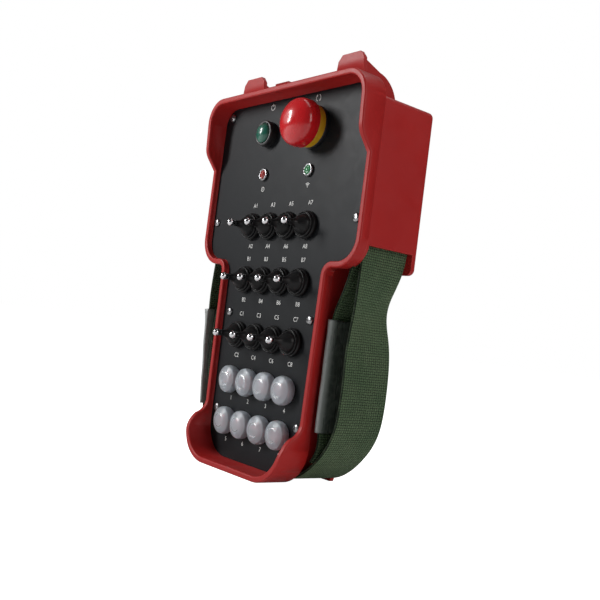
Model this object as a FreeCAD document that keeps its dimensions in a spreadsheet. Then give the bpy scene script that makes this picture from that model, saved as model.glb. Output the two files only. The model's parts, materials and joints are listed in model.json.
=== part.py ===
import FreeCAD, Part
import Sketcher
import math
import os

# Hand-held control station: a T-shaped moulded case with two webbing hand loops.
# Millimetres. +Z up, the controls face -Y, the case stands on z = 0.

Vector = FreeCAD.Vector
Rotation = FreeCAD.Rotation
Placement = FreeCAD.Placement

sizes = {
    # front housing outline, seen from the front
    "headHalf": 85.0, "headTop": 258.0, "headBottom": 138.0, "neckHalf": 57.0, "toeHalf": 54.8,
    "headRound": 17.0, "shoulderRound": 19.0, "neckRound": 5.0, "toeRound": 26.0,
    "lip": 3.9, "softEdge": 1.1,
    # front housing, seen from the side
    "seamY": -9.0, "frontY": -31.0, "hoodTopY": -27.0, "hoodY": -25.4, "hoodBendZ": 224.0,
    "hoodEndY": -21.5, "hoodEndZ": 214.5, "rimY": -16.0, "hoodFootZ": 207.5, "bumperTopZ": 40.0,
    "bumperMidY": -23.5, "bumperMidZ": 31.0, "bumperY": -30.5, "bumperZ": 17.0,
    # face plate and the ledge it sits on
    "plateY": -12.0, "plateThick": 1.5, "plateInset": 4.1, "windowHead": 70.0, "windowTop": 242.0,
    "windowBottom": 13.0, "windowNeck": 39.5, "windowStep": 148.0,
    # rear housing
    "backY": 36.0, "wall": 3.0, "boxHalf": 84.0, "boxTop": 244.5, "boxBottom": 140.0,
    "backNeck": 54.0, "backToe": 52.0, "backBase": 4.1, "backRound": 4.0, "backToeRound": 24.0,
    "seamGap": 0.1, "cavityStepZ": 165.5, "cavityStepX": 62.0,
    # strap pocket in each side of the rear housing
    "pocketIn": 65.5, "pocketOut": 81.0, "pocketFront": -7.0, "pocketBack": 31.0,
    "pocketTop": 162.5, "panelBottom": 153.0, "barX": 75.5, "barZ": 156.0, "barRadius": 2.0,
    # hanging lugs
    "lugIn": 38.5, "lugOut": 65.5, "lugTop": 274.5, "ribIn": 40.0, "ribOut": 64.0,
    # controls on the face plate
    "pitch": 20.0, "rowA": 165.2, "rowB": 127.9, "rowC": 89.2, "rowUpper": 58.0, "rowLower": 29.4,
    "controlX": 24.5, "controlZ": 230.0, "lampZ": 201.7,
    "bushRadius": 6.0, "holeRadius": 6.1, "stopNeck": 11.0, "powerNeck": 8.0, "lampNeck": 3.6,
    # toggle switches
    "pivotY": -15.0, "leverRadius": 1.5, "ballRadius": 2.6, "ballY": -31.0, "bootRadius": 9.4,
    # push buttons
    "plungerRadius": 4.8, "plungerFront": -17.3, "coverRadius": 9.5, "coverFront": -20.6,
    # emergency stop
    "headRadius": 15.75, "headFront": -36.0, "headBack": -20.5, "stopRing": 14.1,
    # webbing and sleeves
    "webWidth": 38.0, "webThick": 2.0, "webY": -7.0, "sleeveThick": 4.6, "sleeveWidth": 43.0,
    "screwRadius": 1.5,
}

doc = FreeCAD.newDocument("controlStation")
sheet = doc.addObject("Spreadsheet::Sheet", "dims")
for line, (alias, value) in enumerate(sizes.items(), 1):
    sheet.set(f"A{line}", alias)
    sheet.set(f"B{line}", str(value))
    sheet.setAlias(f"B{line}", alias)
doc.recompute()

nodes = []


def size(alias):
    return float(sheet.get(alias))


def keep(item, label):
    # a kept item becomes one node, under its own label
    item.Label = label
    nodes.append(item)
    return item


def newBody(name):
    return doc.addObject("PartDesign::Body", name)


def arcBetween(start, end, bend):
    # arc shorter than a half turn; a positive bend curves to the left
    chord = end.sub(start)
    side = Vector(-chord.y, chord.x, 0).normalize()
    reach = math.sqrt(max(bend ** 2 - (chord.Length / 2) ** 2, 0))
    centre = (start + end) / 2 + side * math.copysign(reach, bend)
    first, last = (start, end) if bend > 0 else (end, start)
    turn = [math.atan2(point.y - centre.y, point.x - centre.x) for point in (first, last)]
    return Part.ArcOfCircle(Part.Circle(centre, Vector(0, 0, 1), abs(bend)), *turn)


def newSketch(body, name, role, level):
    # role is the origin plane; level is the sketch's distance along the plane's global axis
    sketch = body.newObject("Sketcher::SketchObject", name)
    plane = next(item for item in body.Origin.OriginFeatures if item.Role == role)
    sketch.AttachmentSupport = [(plane, "")]
    sketch.MapMode = "FlatFace"
    along = f"-({level})" if role == "XZ_Plane" else level
    sketch.setExpression("AttachmentOffset.Base.z", along)
    return sketch


def bind(sketch, constraint, expression):
    row = sketch.addConstraint(constraint)
    sketch.setExpression(f"Constraints[{row}]", expression)


def drawOutline(sketch, corners):
    # corners are (x, y) expressions; a third value bends the edge that leaves that corner
    values = [[float(sketch.evalExpression(part)) for part in corner] for corner in corners]
    points = [Vector(corner[0], corner[1], 0) for corner in values]
    first = sketch.GeometryCount
    total = len(points)
    ends = []
    for index, corner in enumerate(values):
        start = points[index]
        end = points[(index + 1) % total]
        if len(corner) == 3:
            row = sketch.addGeometry(arcBetween(start, end, corner[2]), False)
            ends.append((1, 2) if corner[2] > 0 else (2, 1))
            bind(sketch, Sketcher.Constraint("Radius", row, abs(corner[2])), f"abs({corners[index][2]})")
        else:
            sketch.addGeometry(Part.LineSegment(start, end), False)
            ends.append((1, 2))
    for index in range(total):
        after = (index + 1) % total
        joint = Sketcher.Constraint("Coincident", first + index, ends[index][1], first + after, ends[after][0])
        sketch.addConstraint(joint)
    for index, corner in enumerate(corners):
        for kind, expression, value in zip(("DistanceX", "DistanceY"), corner, values[index]):
            place = Sketcher.Constraint(kind, -1, 1, first + index, ends[index][0], value)
            bind(sketch, place, expression)


def drawCircle(sketch, across, up, radius):
    values = [float(sketch.evalExpression(part)) for part in (across, up, radius)]
    circle = Part.Circle(Vector(values[0], values[1], 0), Vector(0, 0, 1), values[2])
    row = sketch.addGeometry(circle, False)
    bind(sketch, Sketcher.Constraint("Radius", row, values[2]), radius)
    bind(sketch, Sketcher.Constraint("DistanceX", -1, 1, row, 3, values[0]), across)
    bind(sketch, Sketcher.Constraint("DistanceY", -1, 1, row, 3, values[1]), up)


def rectangle(left, right, low, high):
    return [(left, low), (right, low), (right, high), (left, high)]


def grow(body, name, sketch, length, reverse=False, both=False):
    pad = body.newObject("PartDesign::Pad", name)
    pad.Profile = sketch
    pad.Reversed = reverse
    pad.SideType = "Symmetric" if both else "One side"
    pad.setExpression("Length", length)
    doc.recompute()
    return pad


def cut(body, name, sketch, length, reverse=False, both=False):
    before = body.Tip.Shape.Volume
    pocket = body.newObject("PartDesign::Pocket", name)
    pocket.Profile = sketch
    pocket.Reversed = reverse
    pocket.SideType = "Symmetric" if both else "One side"
    pocket.setExpression("Length", length)
    doc.recompute()
    if not pocket.Shape.Volume < before - 0.01:
        raise RuntimeError(f"{name} removes nothing")
    return pocket


def roundEdges(body, name, radius, wanted):
    base = body.Tip
    chosen = [f"Edge{index}" for index, edge in enumerate(base.Shape.Edges, 1) if wanted(edge)]
    if not chosen:
        raise RuntimeError(f"{name} finds no edge")
    fillet = body.newObject("PartDesign::Fillet", name)
    fillet.Base = (base, chosen)
    fillet.setExpression("Radius", radius)
    doc.recompute()
    if "Invalid" in fillet.State or fillet.Shape.isNull() or not fillet.Shape.isValid():
        raise RuntimeError(f"{name} fails")
    return fillet


def runsAlong(edge, axis):
    if not isinstance(edge.Curve, Part.Line):
        return False
    return abs(abs(edge.Curve.Direction.dot(axis)) - 1) < 1e-3


def depthEdgeAt(across, up, reach=0.6):
    # picks the straight front-to-back edges at this |x| and z
    def wanted(edge):
        middle = edge.CenterOfMass
        near = abs(abs(middle.x) - across) < reach and abs(middle.z - up) < reach
        slope = abs(edge.Vertexes[0].Y - edge.Vertexes[-1].Y)
        return near and slope > 0.9 * edge.Length
    return wanted


def tee(half, top, step, neck, toe, base, inset="0"):
    # the T outline of the case: a wide head on a narrow, slightly tapered grip
    right = [
        (f"{toe} - {inset}", f"{base} + {inset}"),
        (f"{neck} - {inset}", f"{step} + {inset}"),
        (f"{half} - {inset}", f"{step} + {inset}"),
        (f"{half} - {inset}", f"{top} - {inset}"),
    ]
    left = [(f"-({across})", up) for across, up in reversed(right)]
    return right + left


def mirrored(spots):
    return [(side * across, up) for across, up in spots for side in (1, -1)]


plateScrewSpots = mirrored([(75.7, 169.0), (44.6, 104.5), (44.8, 36.4), (72.5, 247.6)])
caseScrewSpots = mirrored([(75.5, 236.0), (56.0, 147.0), (43.0, 24.0)])
coverScrewSpots = mirrored([(34.6, 34.0), (34.6, 98.0)])
clampScrewSpots = [(0.0, 1.0), (0.0, 23.0)]
toggleSpots = [
    (f"{letter}{2 * column + 1}", (column - 1.5) * size("pitch"), size(row))
    for letter, row in (("a", "rowA"), ("b", "rowB"), ("c", "rowC"))
    for column in range(4)
]
buttonSpots = [
    (4 * line + column + 1, (column - 1.5) * size("pitch"), size(row))
    for line, row in enumerate(("rowUpper", "rowLower"))
    for column in range(4)
]


def drawSpots(sketch, spots, radius):
    for across, up in spots:
        drawCircle(sketch, str(across), str(up), radius)


# front housing: one moulded collar with a hood over the head and a bumper at the toe
def frontHousing():
    body = newBody("frontHousing")
    outline = newSketch(body, "collarOutline", "XZ_Plane", "dims.seamY")
    caseTee = ("dims.headHalf", "dims.headTop", "dims.headBottom", "dims.neckHalf", "dims.toeHalf", "0")
    drawOutline(outline, tee(*caseTee))
    grow(body, "collarBlock", outline, "dims.seamY - dims.frontY")
    seat = newSketch(body, "plateRecess", "XZ_Plane", "dims.frontY - 0.5")
    drawOutline(seat, tee(*caseTee, "dims.lip"))
    depth = "dims.plateY + dims.plateThick - dims.frontY + 0.5"
    cut(body, "plateRecessCut", seat, depth)
    lip = size("lip")
    rounds = (
        ("headRound", size("headHalf") - lip, size("headTop") - lip, "-"),
        ("shoulderRound", size("headHalf") - lip, size("headBottom") + lip, "-"),
        ("neckRound", size("neckHalf") - lip, size("headBottom") + lip, "+"),
        ("toeRound", size("toeHalf") - lip, lip, "-"),
    )
    for radius, across, up, sign in rounds:
        roundEdges(body, f"{radius}Inner", f"dims.{radius} {sign} dims.lip", depthEdgeAt(across, up))
    corners = (
        ("headRound", "headHalf", "headTop"), ("shoulderRound", "headHalf", "headBottom"),
        ("neckRound", "neckHalf", "headBottom"), ("toeRound", "toeHalf", None),
    )
    for radius, across, up in corners:
        height = size(up) if up else 0.0
        roundEdges(body, f"{radius}Outer", f"dims.{radius}", depthEdgeAt(size(across), height))
    # the head window is wide, the grip window is narrow: the rest is the ledge
    window = newSketch(body, "ledgeWindow", "XZ_Plane", "dims.plateY")
    windowTee = ("dims.windowHead", "dims.windowTop", "dims.windowStep", "dims.windowNeck", "dims.windowNeck")
    drawOutline(window, tee(*windowTee, "dims.windowBottom"))
    cut(body, "ledgeWindowCut", window, "10")
    profile = newSketch(body, "sideProfile", "YZ_Plane", "0")
    drawOutline(profile, [
        ("-45", "262"), ("dims.hoodTopY", "262"), ("dims.hoodY", "dims.hoodBendZ", "14"),
        ("dims.hoodEndY", "dims.hoodEndZ"), ("dims.rimY", "dims.hoodFootZ"),
        ("dims.rimY", "dims.bumperTopZ", "-11"), ("dims.bumperMidY", "dims.bumperMidZ", "19"),
        ("dims.bumperY", "dims.bumperZ"), ("dims.frontY - 0.2", "5"), ("-45", "5"),
    ])
    cut(body, "sideProfileCut", profile, "200", both=True)

    def onLip(edge):
        box = edge.BoundBox
        middle = edge.CenterOfMass
        front = size("rimY") + 0.3
        across = size("seamY") - 0.5
        leaves = box.YMax < front or (box.YMax < across and box.YLength > 1 and runsAcross(edge))
        return leaves and not edgeInsideWall(edge) and middle.z > -1

    def runsAcross(edge):
        return edge.BoundBox.XLength < 0.6 and edge.BoundBox.ZLength > 0.5 * edge.BoundBox.YLength

    def edgeInsideWall(edge):
        return runsAlong(edge, Vector(1, 0, 0)) and edge.Length < size("lip") + 3

    roundEdges(body, "lipEdges", "dims.softEdge", onLip)
    lugs = newSketch(body, "lugOutline", "XZ_Plane", "dims.seamY")
    for side in ("", "-"):
        drawOutline(lugs, [
            (f"{side}dims.lugIn", "256"), (f"{side}dims.lugOut", "256"),
            (f"{side}(dims.lugOut - 2)", "dims.lugTop - 4"), (f"{side}(dims.lugOut - 5.5)", "dims.lugTop"),
            (f"{side}(dims.lugIn + 5)", "dims.lugTop"), (f"{side}(dims.lugIn + 1.5)", "dims.lugTop - 4"),
        ])
    grow(body, "lugs", lugs, "3")
    nub = newSketch(body, "nubOutline", "XY_Plane", "dims.headTop - 1")
    drawOutline(nub, rectangle("-7", "7", "-25", "-15"))
    grow(body, "nub", nub, "2.7")
    plateBosses = newSketch(body, "plateBossOutline", "XZ_Plane", "dims.seamY - 0.5")
    drawSpots(plateBosses, plateScrewSpots, "2.6")
    grow(body, "plateBosses", plateBosses, "6.5", reverse=True)
    caseBosses = newSketch(body, "caseBossOutline", "XZ_Plane", "dims.seamY - 0.5")
    drawSpots(caseBosses, caseScrewSpots, "4")
    grow(body, "caseBosses", caseBosses, "15.5", reverse=True)
    plateHoles = newSketch(body, "plateScrewHoles", "XZ_Plane", "dims.plateY")
    drawSpots(plateHoles, plateScrewSpots, "dims.screwRadius + 0.05")
    cut(body, "plateHolesCut", plateHoles, "8.5")
    caseHoles = newSketch(body, "caseScrewHoles", "XZ_Plane", "7")
    drawSpots(caseHoles, caseScrewSpots, "2.05")
    cut(body, "caseHolesCut", caseHoles, "14.5", reverse=True)
    return body


keep(frontHousing(), "front_housing")


# rear housing: a box behind the head, a narrow back behind the grip, a pocket for each strap
def rearHousing():
    body = newBody("rearHousing")
    front = "dims.seamY + dims.seamGap"
    outline = newSketch(body, "rearOutline", "XZ_Plane", "dims.backY")
    rearTee = ("dims.boxHalf", "dims.boxTop", "dims.boxBottom", "dims.backNeck", "dims.backToe")
    drawOutline(outline, tee(*rearTee, "dims.backBase"))
    grow(body, "rearBlock", outline, f"dims.backY - ({front})")
    wall = size("wall")
    inside = newSketch(body, "rearCavity", "XZ_Plane", front)
    right = [
        ("dims.backToe - dims.wall", "dims.backBase + dims.wall"),
        ("dims.backNeck - dims.wall", "dims.boxBottom + dims.wall"),
        ("dims.cavityStepX", "dims.boxBottom + dims.wall"), ("dims.cavityStepX", "dims.cavityStepZ"),
        ("dims.boxHalf - dims.wall", "dims.cavityStepZ"),
        ("dims.boxHalf - dims.wall", "dims.boxTop - dims.wall"),
    ]
    drawOutline(inside, right + [(f"-({across})", up) for across, up in reversed(right)])
    cut(body, "rearCavityCut", inside, f"dims.backY - dims.wall - ({front})")
    toeInside = depthEdgeAt(size("backToe") - wall, size("backBase") + wall)
    roundEdges(body, "toeInside", "dims.backToeRound - dims.wall", toeInside)
    roundEdges(body, "toeOutside", "dims.backToeRound", depthEdgeAt(size("backToe"), size("backBase")))
    roundEdges(body, "boxTopCorners", "dims.backRound", depthEdgeAt(size("boxHalf"), size("boxTop")))
    roundEdges(body, "boxLowCorners", "dims.backRound", depthEdgeAt(size("boxHalf"), size("boxBottom")))
    back = size("backY")
    roundEdges(body, "backEdges", "3", lambda edge: edge.BoundBox.YMin > back - 0.01)
    pockets = newSketch(body, "strapPockets", "XY_Plane", "dims.boxBottom - 5")
    windows = newSketch(body, "strapWindows", "XY_Plane", "dims.boxBottom - 5")
    for side in ("", "-"):
        drawOutline(pockets, rectangle(f"{side}dims.pocketIn", f"{side}dims.pocketOut",
                                       "dims.pocketFront", "dims.pocketBack"))
        drawOutline(windows, rectangle(f"{side}(dims.pocketOut - 2)", f"{side}(dims.boxHalf + 2)",
                                       "dims.pocketFront", "dims.pocketBack"))
    cut(body, "strapPocketsCut", pockets, "dims.pocketTop - dims.boxBottom + 5", reverse=True)
    cut(body, "strapWindowsCut", windows, "dims.panelBottom - dims.boxBottom + 5", reverse=True)
    # in front of the pockets the wall follows the round shoulder of the collar
    relief = newSketch(body, "shoulderRelief", "XZ_Plane", front)
    shoulder = "dims.headBottom + dims.shoulderRound"
    for side, bend in (("", "-dims.shoulderRound"), ("-", "dims.shoulderRound")):
        drawOutline(relief, [
            (f"{side}dims.neckHalf", "dims.headBottom - 2"), (f"{side}(dims.headHalf + 1)", "dims.headBottom - 2"),
            (f"{side}(dims.headHalf + 1)", shoulder), (f"{side}dims.headHalf", shoulder, bend),
            (f"{side}(dims.headHalf - dims.shoulderRound)", "dims.headBottom"),
            (f"{side}dims.neckHalf", "dims.headBottom"),
        ])
    cut(body, "shoulderReliefCut", relief, f"dims.pocketFront - ({front})")
    bars = newSketch(body, "barHoles", "XZ_Plane", front)
    drawSpots(bars, mirrored([(size("barX"), size("barZ"))]), "dims.barRadius + 0.02")
    cut(body, "barHolesCut", bars, "42")
    ribs = newSketch(body, "ribProfile", "YZ_Plane", "dims.ribIn")
    profile = [
        (front, "dims.boxTop - 1"), ("20", "dims.boxTop - 1", "20"), ("3", "264.2"),
        (front, "dims.lugTop - 5.9"),
    ]
    drawOutline(ribs, profile)
    grow(body, "ribRight", ribs, "dims.ribOut - dims.ribIn")
    others = newSketch(body, "ribProfileLeft", "YZ_Plane", "-dims.ribOut")
    drawOutline(others, profile)
    grow(body, "ribLeft", others, "dims.ribOut - dims.ribIn")
    foot = newSketch(body, "footOutline", "XZ_Plane", "dims.backY")
    drawOutline(foot, [("-32", "0"), ("32", "0"), ("34", "dims.backBase + 1"), ("-34", "dims.backBase + 1")])
    grow(body, "foot", foot, "3.4")
    columns = newSketch(body, "columnOutline", "XZ_Plane", "dims.backY - 1")
    drawSpots(columns, caseScrewSpots, "4.8")
    grow(body, "columns", columns, "28.7")
    wells = newSketch(body, "screwWells", "XZ_Plane", "dims.backY + 0.5")
    drawSpots(wells, caseScrewSpots, "3.6")
    cut(body, "screwWellsCut", wells, "5.2", reverse=True)
    holes = newSketch(body, "screwHoles", "XZ_Plane", "dims.backY + 0.5")
    drawSpots(holes, caseScrewSpots, "2.1")
    cut(body, "screwHolesCut", holes, "31", reverse=True)
    recess = newSketch(body, "batteryRecess", "XZ_Plane", "dims.backY + 0.5")
    drawOutline(recess, rectangle("-38.2", "38.2", "14.8", "115.2"))
    cut(body, "batteryRecessCut", recess, "2.3", reverse=True)
    opening = newSketch(body, "batteryOpening", "XZ_Plane", "dims.backY + 0.5")
    drawOutline(opening, rectangle("-31", "31", "18", "112"))
    cut(body, "batteryOpeningCut", opening, "6", reverse=True)
    coverBosses = newSketch(body, "coverBosses", "XZ_Plane", "dims.backY - 2.5")
    drawSpots(coverBosses, coverScrewSpots, "2.8")
    grow(body, "coverBossPads", coverBosses, "6")
    coverHoles = newSketch(body, "coverHoles", "XZ_Plane", "dims.backY")
    drawSpots(coverHoles, coverScrewSpots, "1.3")
    cut(body, "coverHolesCut", coverHoles, "7.5", reverse=True)
    clampHoles = newSketch(body, "clampHoles", "XY_Plane", "0")
    drawSpots(clampHoles, clampScrewSpots, "1.3")
    cut(body, "clampHolesCut", clampHoles, "dims.backBase + 2", reverse=True)
    return body


def facesAt(shape, along, level):
    return [face for face in shape.Faces if abs(getattr(face.BoundBox, f"{along}Max") - level) < 1e-3
            and getattr(face.BoundBox, f"{along}Length") < 1e-3]


def ringSolid(wire, outer, inner, start, depth):
    # a flat ring between two inward offsets of a wire in an XZ plane
    faces = [Part.Face(wire.makeOffset2D(-inset)) for inset in (outer, inner)]
    ring = faces[0].cut(faces[1])
    ring.translate(Vector(0, start - ring.BoundBox.YMin, 0))
    return ring.extrude(Vector(0, depth, 0))


def housingAndGasket():
    # a cord of rubber lies in a groove round the rear housing's front edge
    shell = rearHousing()
    front = size("seamY") + size("seamGap")
    rim = max(facesAt(shell.Shape, "Y", front), key=lambda face: face.OuterWire.Length).OuterWire
    groove = doc.addObject("Part::Feature", "gasketGroove")
    groove.Shape = ringSolid(rim, 0.7, 2.2, front, 1.2)
    housing = doc.addObject("Part::Cut", "housingWithGroove")
    housing.Base = shell
    housing.Tool = groove
    keep(housing, "rear_housing")
    gasket = doc.addObject("Part::Feature", "gasketCord")
    gasket.Shape = ringSolid(rim, 0.75, 2.15, front - 0.05, 1.2)
    keep(gasket, "housing_gasket")


housingAndGasket()


def place(item, across=0.0, up=0.0):
    item.Placement = Placement(Vector(across, 0, up), Rotation())
    return item


def turned(name, profile):
    # profile is (radius, y) round the control's own axis, which runs along Y
    body = newBody(name)
    sketch = newSketch(body, f"{name}Profile", "XY_Plane", "0")
    drawOutline(sketch, profile)
    spin = body.newObject("PartDesign::Revolution", f"{name}Turn")
    spin.Profile = sketch
    spin.ReferenceAxis = (sketch, ["V_Axis"])
    spin.Angle = 360
    doc.recompute()
    return body


def dome(radius, rise):
    # bend of a cap this wide and this high, centred on the control's axis
    return f"(({radius})^2 + ({rise})^2) / (2 * ({rise}))"


def block(name, wide, deep, high, across=0.0, back=0.0, up=0.0):
    # a box centred on x, starting at y = back, centred on z
    box = doc.addObject("Part::Box", name)
    for key, value in (("Length", wide), ("Width", deep), ("Height", high)):
        box.setExpression(key, str(value))
    doc.recompute()
    corner = Vector(across - box.Length.Value / 2, back, up - box.Height.Value / 2)
    box.Placement = Placement(corner, Rotation())
    return box


def rod(name, radius, start, end, across=0.0, up=0.0):
    # a cylinder along Y from start to end
    cylinder = doc.addObject("Part::Cylinder", name)
    cylinder.setExpression("Radius", str(radius))
    cylinder.setExpression("Height", f"({end}) - ({start})")
    doc.recompute()
    foot = float(cylinder.evalExpression(str(start)))
    cylinder.Placement = Placement(Vector(across, foot, up), Rotation(Vector(1, 0, 0), -90))
    return cylinder


def joined(name, items):
    fuse = doc.addObject("Part::MultiFuse", name)
    fuse.Shapes = items
    doc.recompute()
    return fuse


def carved(name, base, tools):
    result = doc.addObject("Part::Cut", name)
    result.Base = base
    result.Tool = tools[0] if len(tools) == 1 else joined(f"{name}Tools", tools)
    doc.recompute()
    return result


def copies(label, pattern, spots):
    # one node that holds the same piece at several places
    group = doc.addObject("Part::Feature", f"{pattern.Name}Group")
    solids = []
    for across, up in spots:
        solid = pattern.Shape.copy()
        solid.translate(Vector(across, 0, up))
        solids.append(solid)
    group.Shape = Part.makeCompound(solids)
    return keep(group, label)


def single(label, pattern, across, up):
    item = doc.addObject("Part::Feature", f"{pattern.Name}At")
    item.Shape = pattern.Shape
    return keep(place(item, across, up), label)


def facePlate():
    body = newBody("facePlate")
    outline = newSketch(body, "plateOutline", "XZ_Plane", "dims.plateY + dims.plateThick")
    caseTee = ("dims.headHalf", "dims.headTop", "dims.headBottom", "dims.neckHalf", "dims.toeHalf", "0")
    drawOutline(outline, tee(*caseTee, "dims.plateInset"))
    grow(body, "plateBlank", outline, "dims.plateThick")
    inset = size("plateInset")
    rounds = (
        ("headRound", "-", size("headHalf") - inset, size("headTop") - inset),
        ("shoulderRound", "-", size("headHalf") - inset, size("headBottom") + inset),
        ("neckRound", "+", size("neckHalf") - inset, size("headBottom") + inset),
        ("toeRound", "-", size("toeHalf") - inset, inset),
    )
    for radius, sign, across, up in rounds:
        wanted = depthEdgeAt(across, up)
        roundEdges(body, f"{radius}Plate", f"dims.{radius} {sign} dims.plateInset", wanted)
    holes = newSketch(body, "plateHoles", "XZ_Plane", "dims.plateY - 1")
    drawSpots(holes, [(across, up) for _, across, up in toggleSpots + buttonSpots], "dims.holeRadius")
    drawSpots(holes, plateScrewSpots, "dims.screwRadius + 0.15")
    drawCircle(holes, "dims.controlX", "dims.controlZ", "dims.stopNeck + 0.15")
    drawCircle(holes, "-dims.controlX", "dims.controlZ", "dims.powerNeck + 0.15")
    drawSpots(holes, mirrored([(size("controlX"), size("lampZ"))]), "dims.lampNeck + 0.1")
    cut(body, "plateHolesCut2", holes, "5")
    return body


keep(facePlate(), "faceplate")


def toggles():
    bush = turned("toggleBush", [
        ("0", "-10.4"), ("dims.bushRadius", "-10.4"), ("dims.bushRadius", "-17.5"), ("3.2", "-17.5"),
        ("3.2", "-11.2"), ("0", "-11.2"),
    ])
    case = block("toggleCase", 13, 18.4, 13, back=-10.4)
    pins = [rod(f"togglePin{step}", 0.6, "7.5", "13.6", 0, 4 * step) for step in (-1, 0, 1)]
    switch = joined("toggleSwitch", [bush, case] + pins)
    spots = [(across, up) for _, across, up in toggleSpots]
    copies("toggle_bodies", switch, spots)
    lever = turned("toggleLever", [
        ("0", "-12"), ("dims.leverRadius", "-12"), ("dims.leverRadius", "dims.pivotY + 2.77", "-3.15"),
        ("dims.leverRadius", "dims.pivotY - 2.77"),
        ("dims.leverRadius", "dims.ballY + 2.124", "-dims.ballRadius"), ("0", "dims.ballY - dims.ballRadius"),
    ])
    for name, across, up in toggleSpots:
        single(f"toggle_lever_{name}", lever, across, up)
    boot = turned("toggleBoot", [
        ("6.3", "-12.1"), ("dims.bootRadius", "-12.1"), ("dims.bootRadius", "-14"), ("8", "-14.6"),
        ("8", "-16.4"), ("7.2", "-17.4", "16"), ("3.4", "-22.6", "5"), ("2.1", "-25"), ("2.1", "-28.3"),
        ("1.7", "-28.3"), ("1.7", "-24.4"), ("2.6", "-22"), ("6.3", "-18.4"),
    ])
    for row in range(3):
        letter = toggleSpots[4 * row][0][0]
        copies(f"toggle_boots_{letter}", boot, spots[4 * row:4 * row + 4])


toggles()


def buttons():
    neck = rod("buttonNeck", "dims.bushRadius", "-13.5", "-10.4")
    case = block("buttonCase", 14, 16.4, 14, back=-10.4)
    pins = [rod(f"buttonPin{side}", 0.6, "5.5", "13.6", 4 * side, 0) for side in (-1, 1)]
    bore = rod("buttonBore", "dims.plungerRadius + 0.05", "-14", "-4.5")
    switch = carved("buttonSwitch", joined("buttonBlank", [neck, case] + pins), [bore])
    spots = [(across, up) for _, across, up in buttonSpots]
    copies("button_bodies", switch, spots)
    plunger = turned("buttonPlunger", [
        ("0", "-7.5"), ("dims.plungerRadius", "-7.5"), ("dims.plungerRadius", "dims.plungerFront + 0.6"),
        ("dims.plungerRadius - 0.6", "dims.plungerFront"), ("0", "dims.plungerFront"),
    ])
    for number, across, up in buttonSpots:
        single(f"button_plunger_{number}", plunger, across, up)
    cover = turned("buttonCover", [
        ("7.4", "-12.1"), ("8.5", "-12.1", "-8"), ("dims.coverRadius", "-15.4"), ("8.9", "-18"),
        ("8.3", "-18.6", f"-{dome(8.3, '-18.6 - dims.coverFront')}"), ("0", "dims.coverFront"),
        ("0", "-19.3", dome(7.2, 1.7)), ("7.2", "-17.6"), ("8.2", "-15"),
    ])
    copies("button_covers_upper", cover, spots[:4])
    copies("button_covers_lower", cover, spots[4:])


buttons()


def emergencyStop():
    across, up = size("controlX"), size("controlZ")
    bezel = turned("stopBezel", [
        ("8", "-2"), ("8", "-14.6"), ("dims.stopRing", "-14.6"), ("dims.stopRing", "-12.05"),
        ("dims.stopNeck", "-12.05"), ("dims.stopNeck", "-2"),
    ])
    keep(place(bezel, across, up), "estop_bezel")
    ring = turned("stopRing", [
        ("8", "-14.65"), ("8", "-19.8"), ("dims.stopRing - 0.5", "-19.8"), ("dims.stopRing", "-19.3"),
        ("dims.stopRing", "-14.65"),
    ])
    keep(place(ring, across, up), "estop_yellow_ring")
    stem = turned("stopStem", [
        ("0", "-6"), ("7.92", "-6"), ("7.92", "-25.7"), ("5", "-25.7"), ("5", "-31.2"), ("0", "-31.2"),
    ])
    keep(place(stem, across, up), "estop_stem")
    head = turned("stopHead", [
        ("0", "-31.5"), ("5.05", "-31.5"), ("5.05", "-26"), ("14.6", "-26"), ("14.6", "dims.headBack"),
        ("dims.headRadius", "dims.headBack"), ("dims.headRadius", "-24.5", "-9.05"),
        ("12.8", "-31.04", f"-{dome(12.8, '-31.04 - dims.headFront')}"), ("0", "dims.headFront"),
    ])
    keep(place(head, across, up), "estop_mushroom")
    keep(block("stopContacts", 28, 29, 22, across, -1.5, up - 0.5), "estop_contact_block")


emergencyStop()


def powerButton():
    across, up = -size("controlX"), size("controlZ")
    bezel = turned("powerBezel", [
        ("6.85", "-6"), ("6.85", "-18"), ("8.6", "-18"), ("9", "-17.4"), ("9", "-12.05"),
        ("dims.powerNeck", "-12.05"), ("dims.powerNeck", "-6"),
    ])
    keep(place(bezel, across, up), "power_button_bezel")
    cap = turned("powerCap", [
        ("0", "-9.5"), ("6.8", "-9.5"), ("6.8", "-18.8", f"-{dome(6.8, 2.6)}"), ("0", "-21.4"),
    ])
    keep(place(cap, across, up), "power_button_cap")
    keep(block("powerSwitch", 17, 17.5, 17, across, -5.9, up), "power_switch_body")


powerButton()


def lamps():
    spots = mirrored([(size("controlX"), size("lampZ"))])
    bezel = turned("lampBezel", [
        ("3.05", "-5"), ("3.05", "-14"), ("4", "-14"), ("4.4", "-13.6"), ("4.4", "-12.05"),
        ("dims.lampNeck", "-12.05"), ("dims.lampNeck", "-5"),
    ])
    copies("lamp_bezels", bezel, spots)
    lens = turned("lampLens", [
        ("0", "-6"), ("3", "-6"), ("3", "-13.7", f"-{dome(3, 1.3)}"), ("0", "-15"),
    ])
    single("lamp_lens_green", lens, *spots[0])
    single("lamp_lens_red", lens, *spots[1])


lamps()


def fasteners():
    pan = turned("panScrew", [
        ("0", "-4.5"), ("dims.screwRadius", "-4.5"), ("dims.screwRadius", "-12.02"), ("2.9", "-12.02"),
        ("2.9", "-13.1", f"-{dome(2.9, 0.8)}"), ("0", "-13.9"),
    ])
    copies("faceplate_screws", pan, plateScrewSpots)
    long = turned("caseScrew", [
        ("0", "-6.8"), ("2", "-6.8"), ("2", "31.35"), ("3.4", "31.35"), ("3.4", "34.4"), ("0", "34.4"),
    ])
    copies("housing_screws", long, caseScrewSpots)


fasteners()


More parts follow.
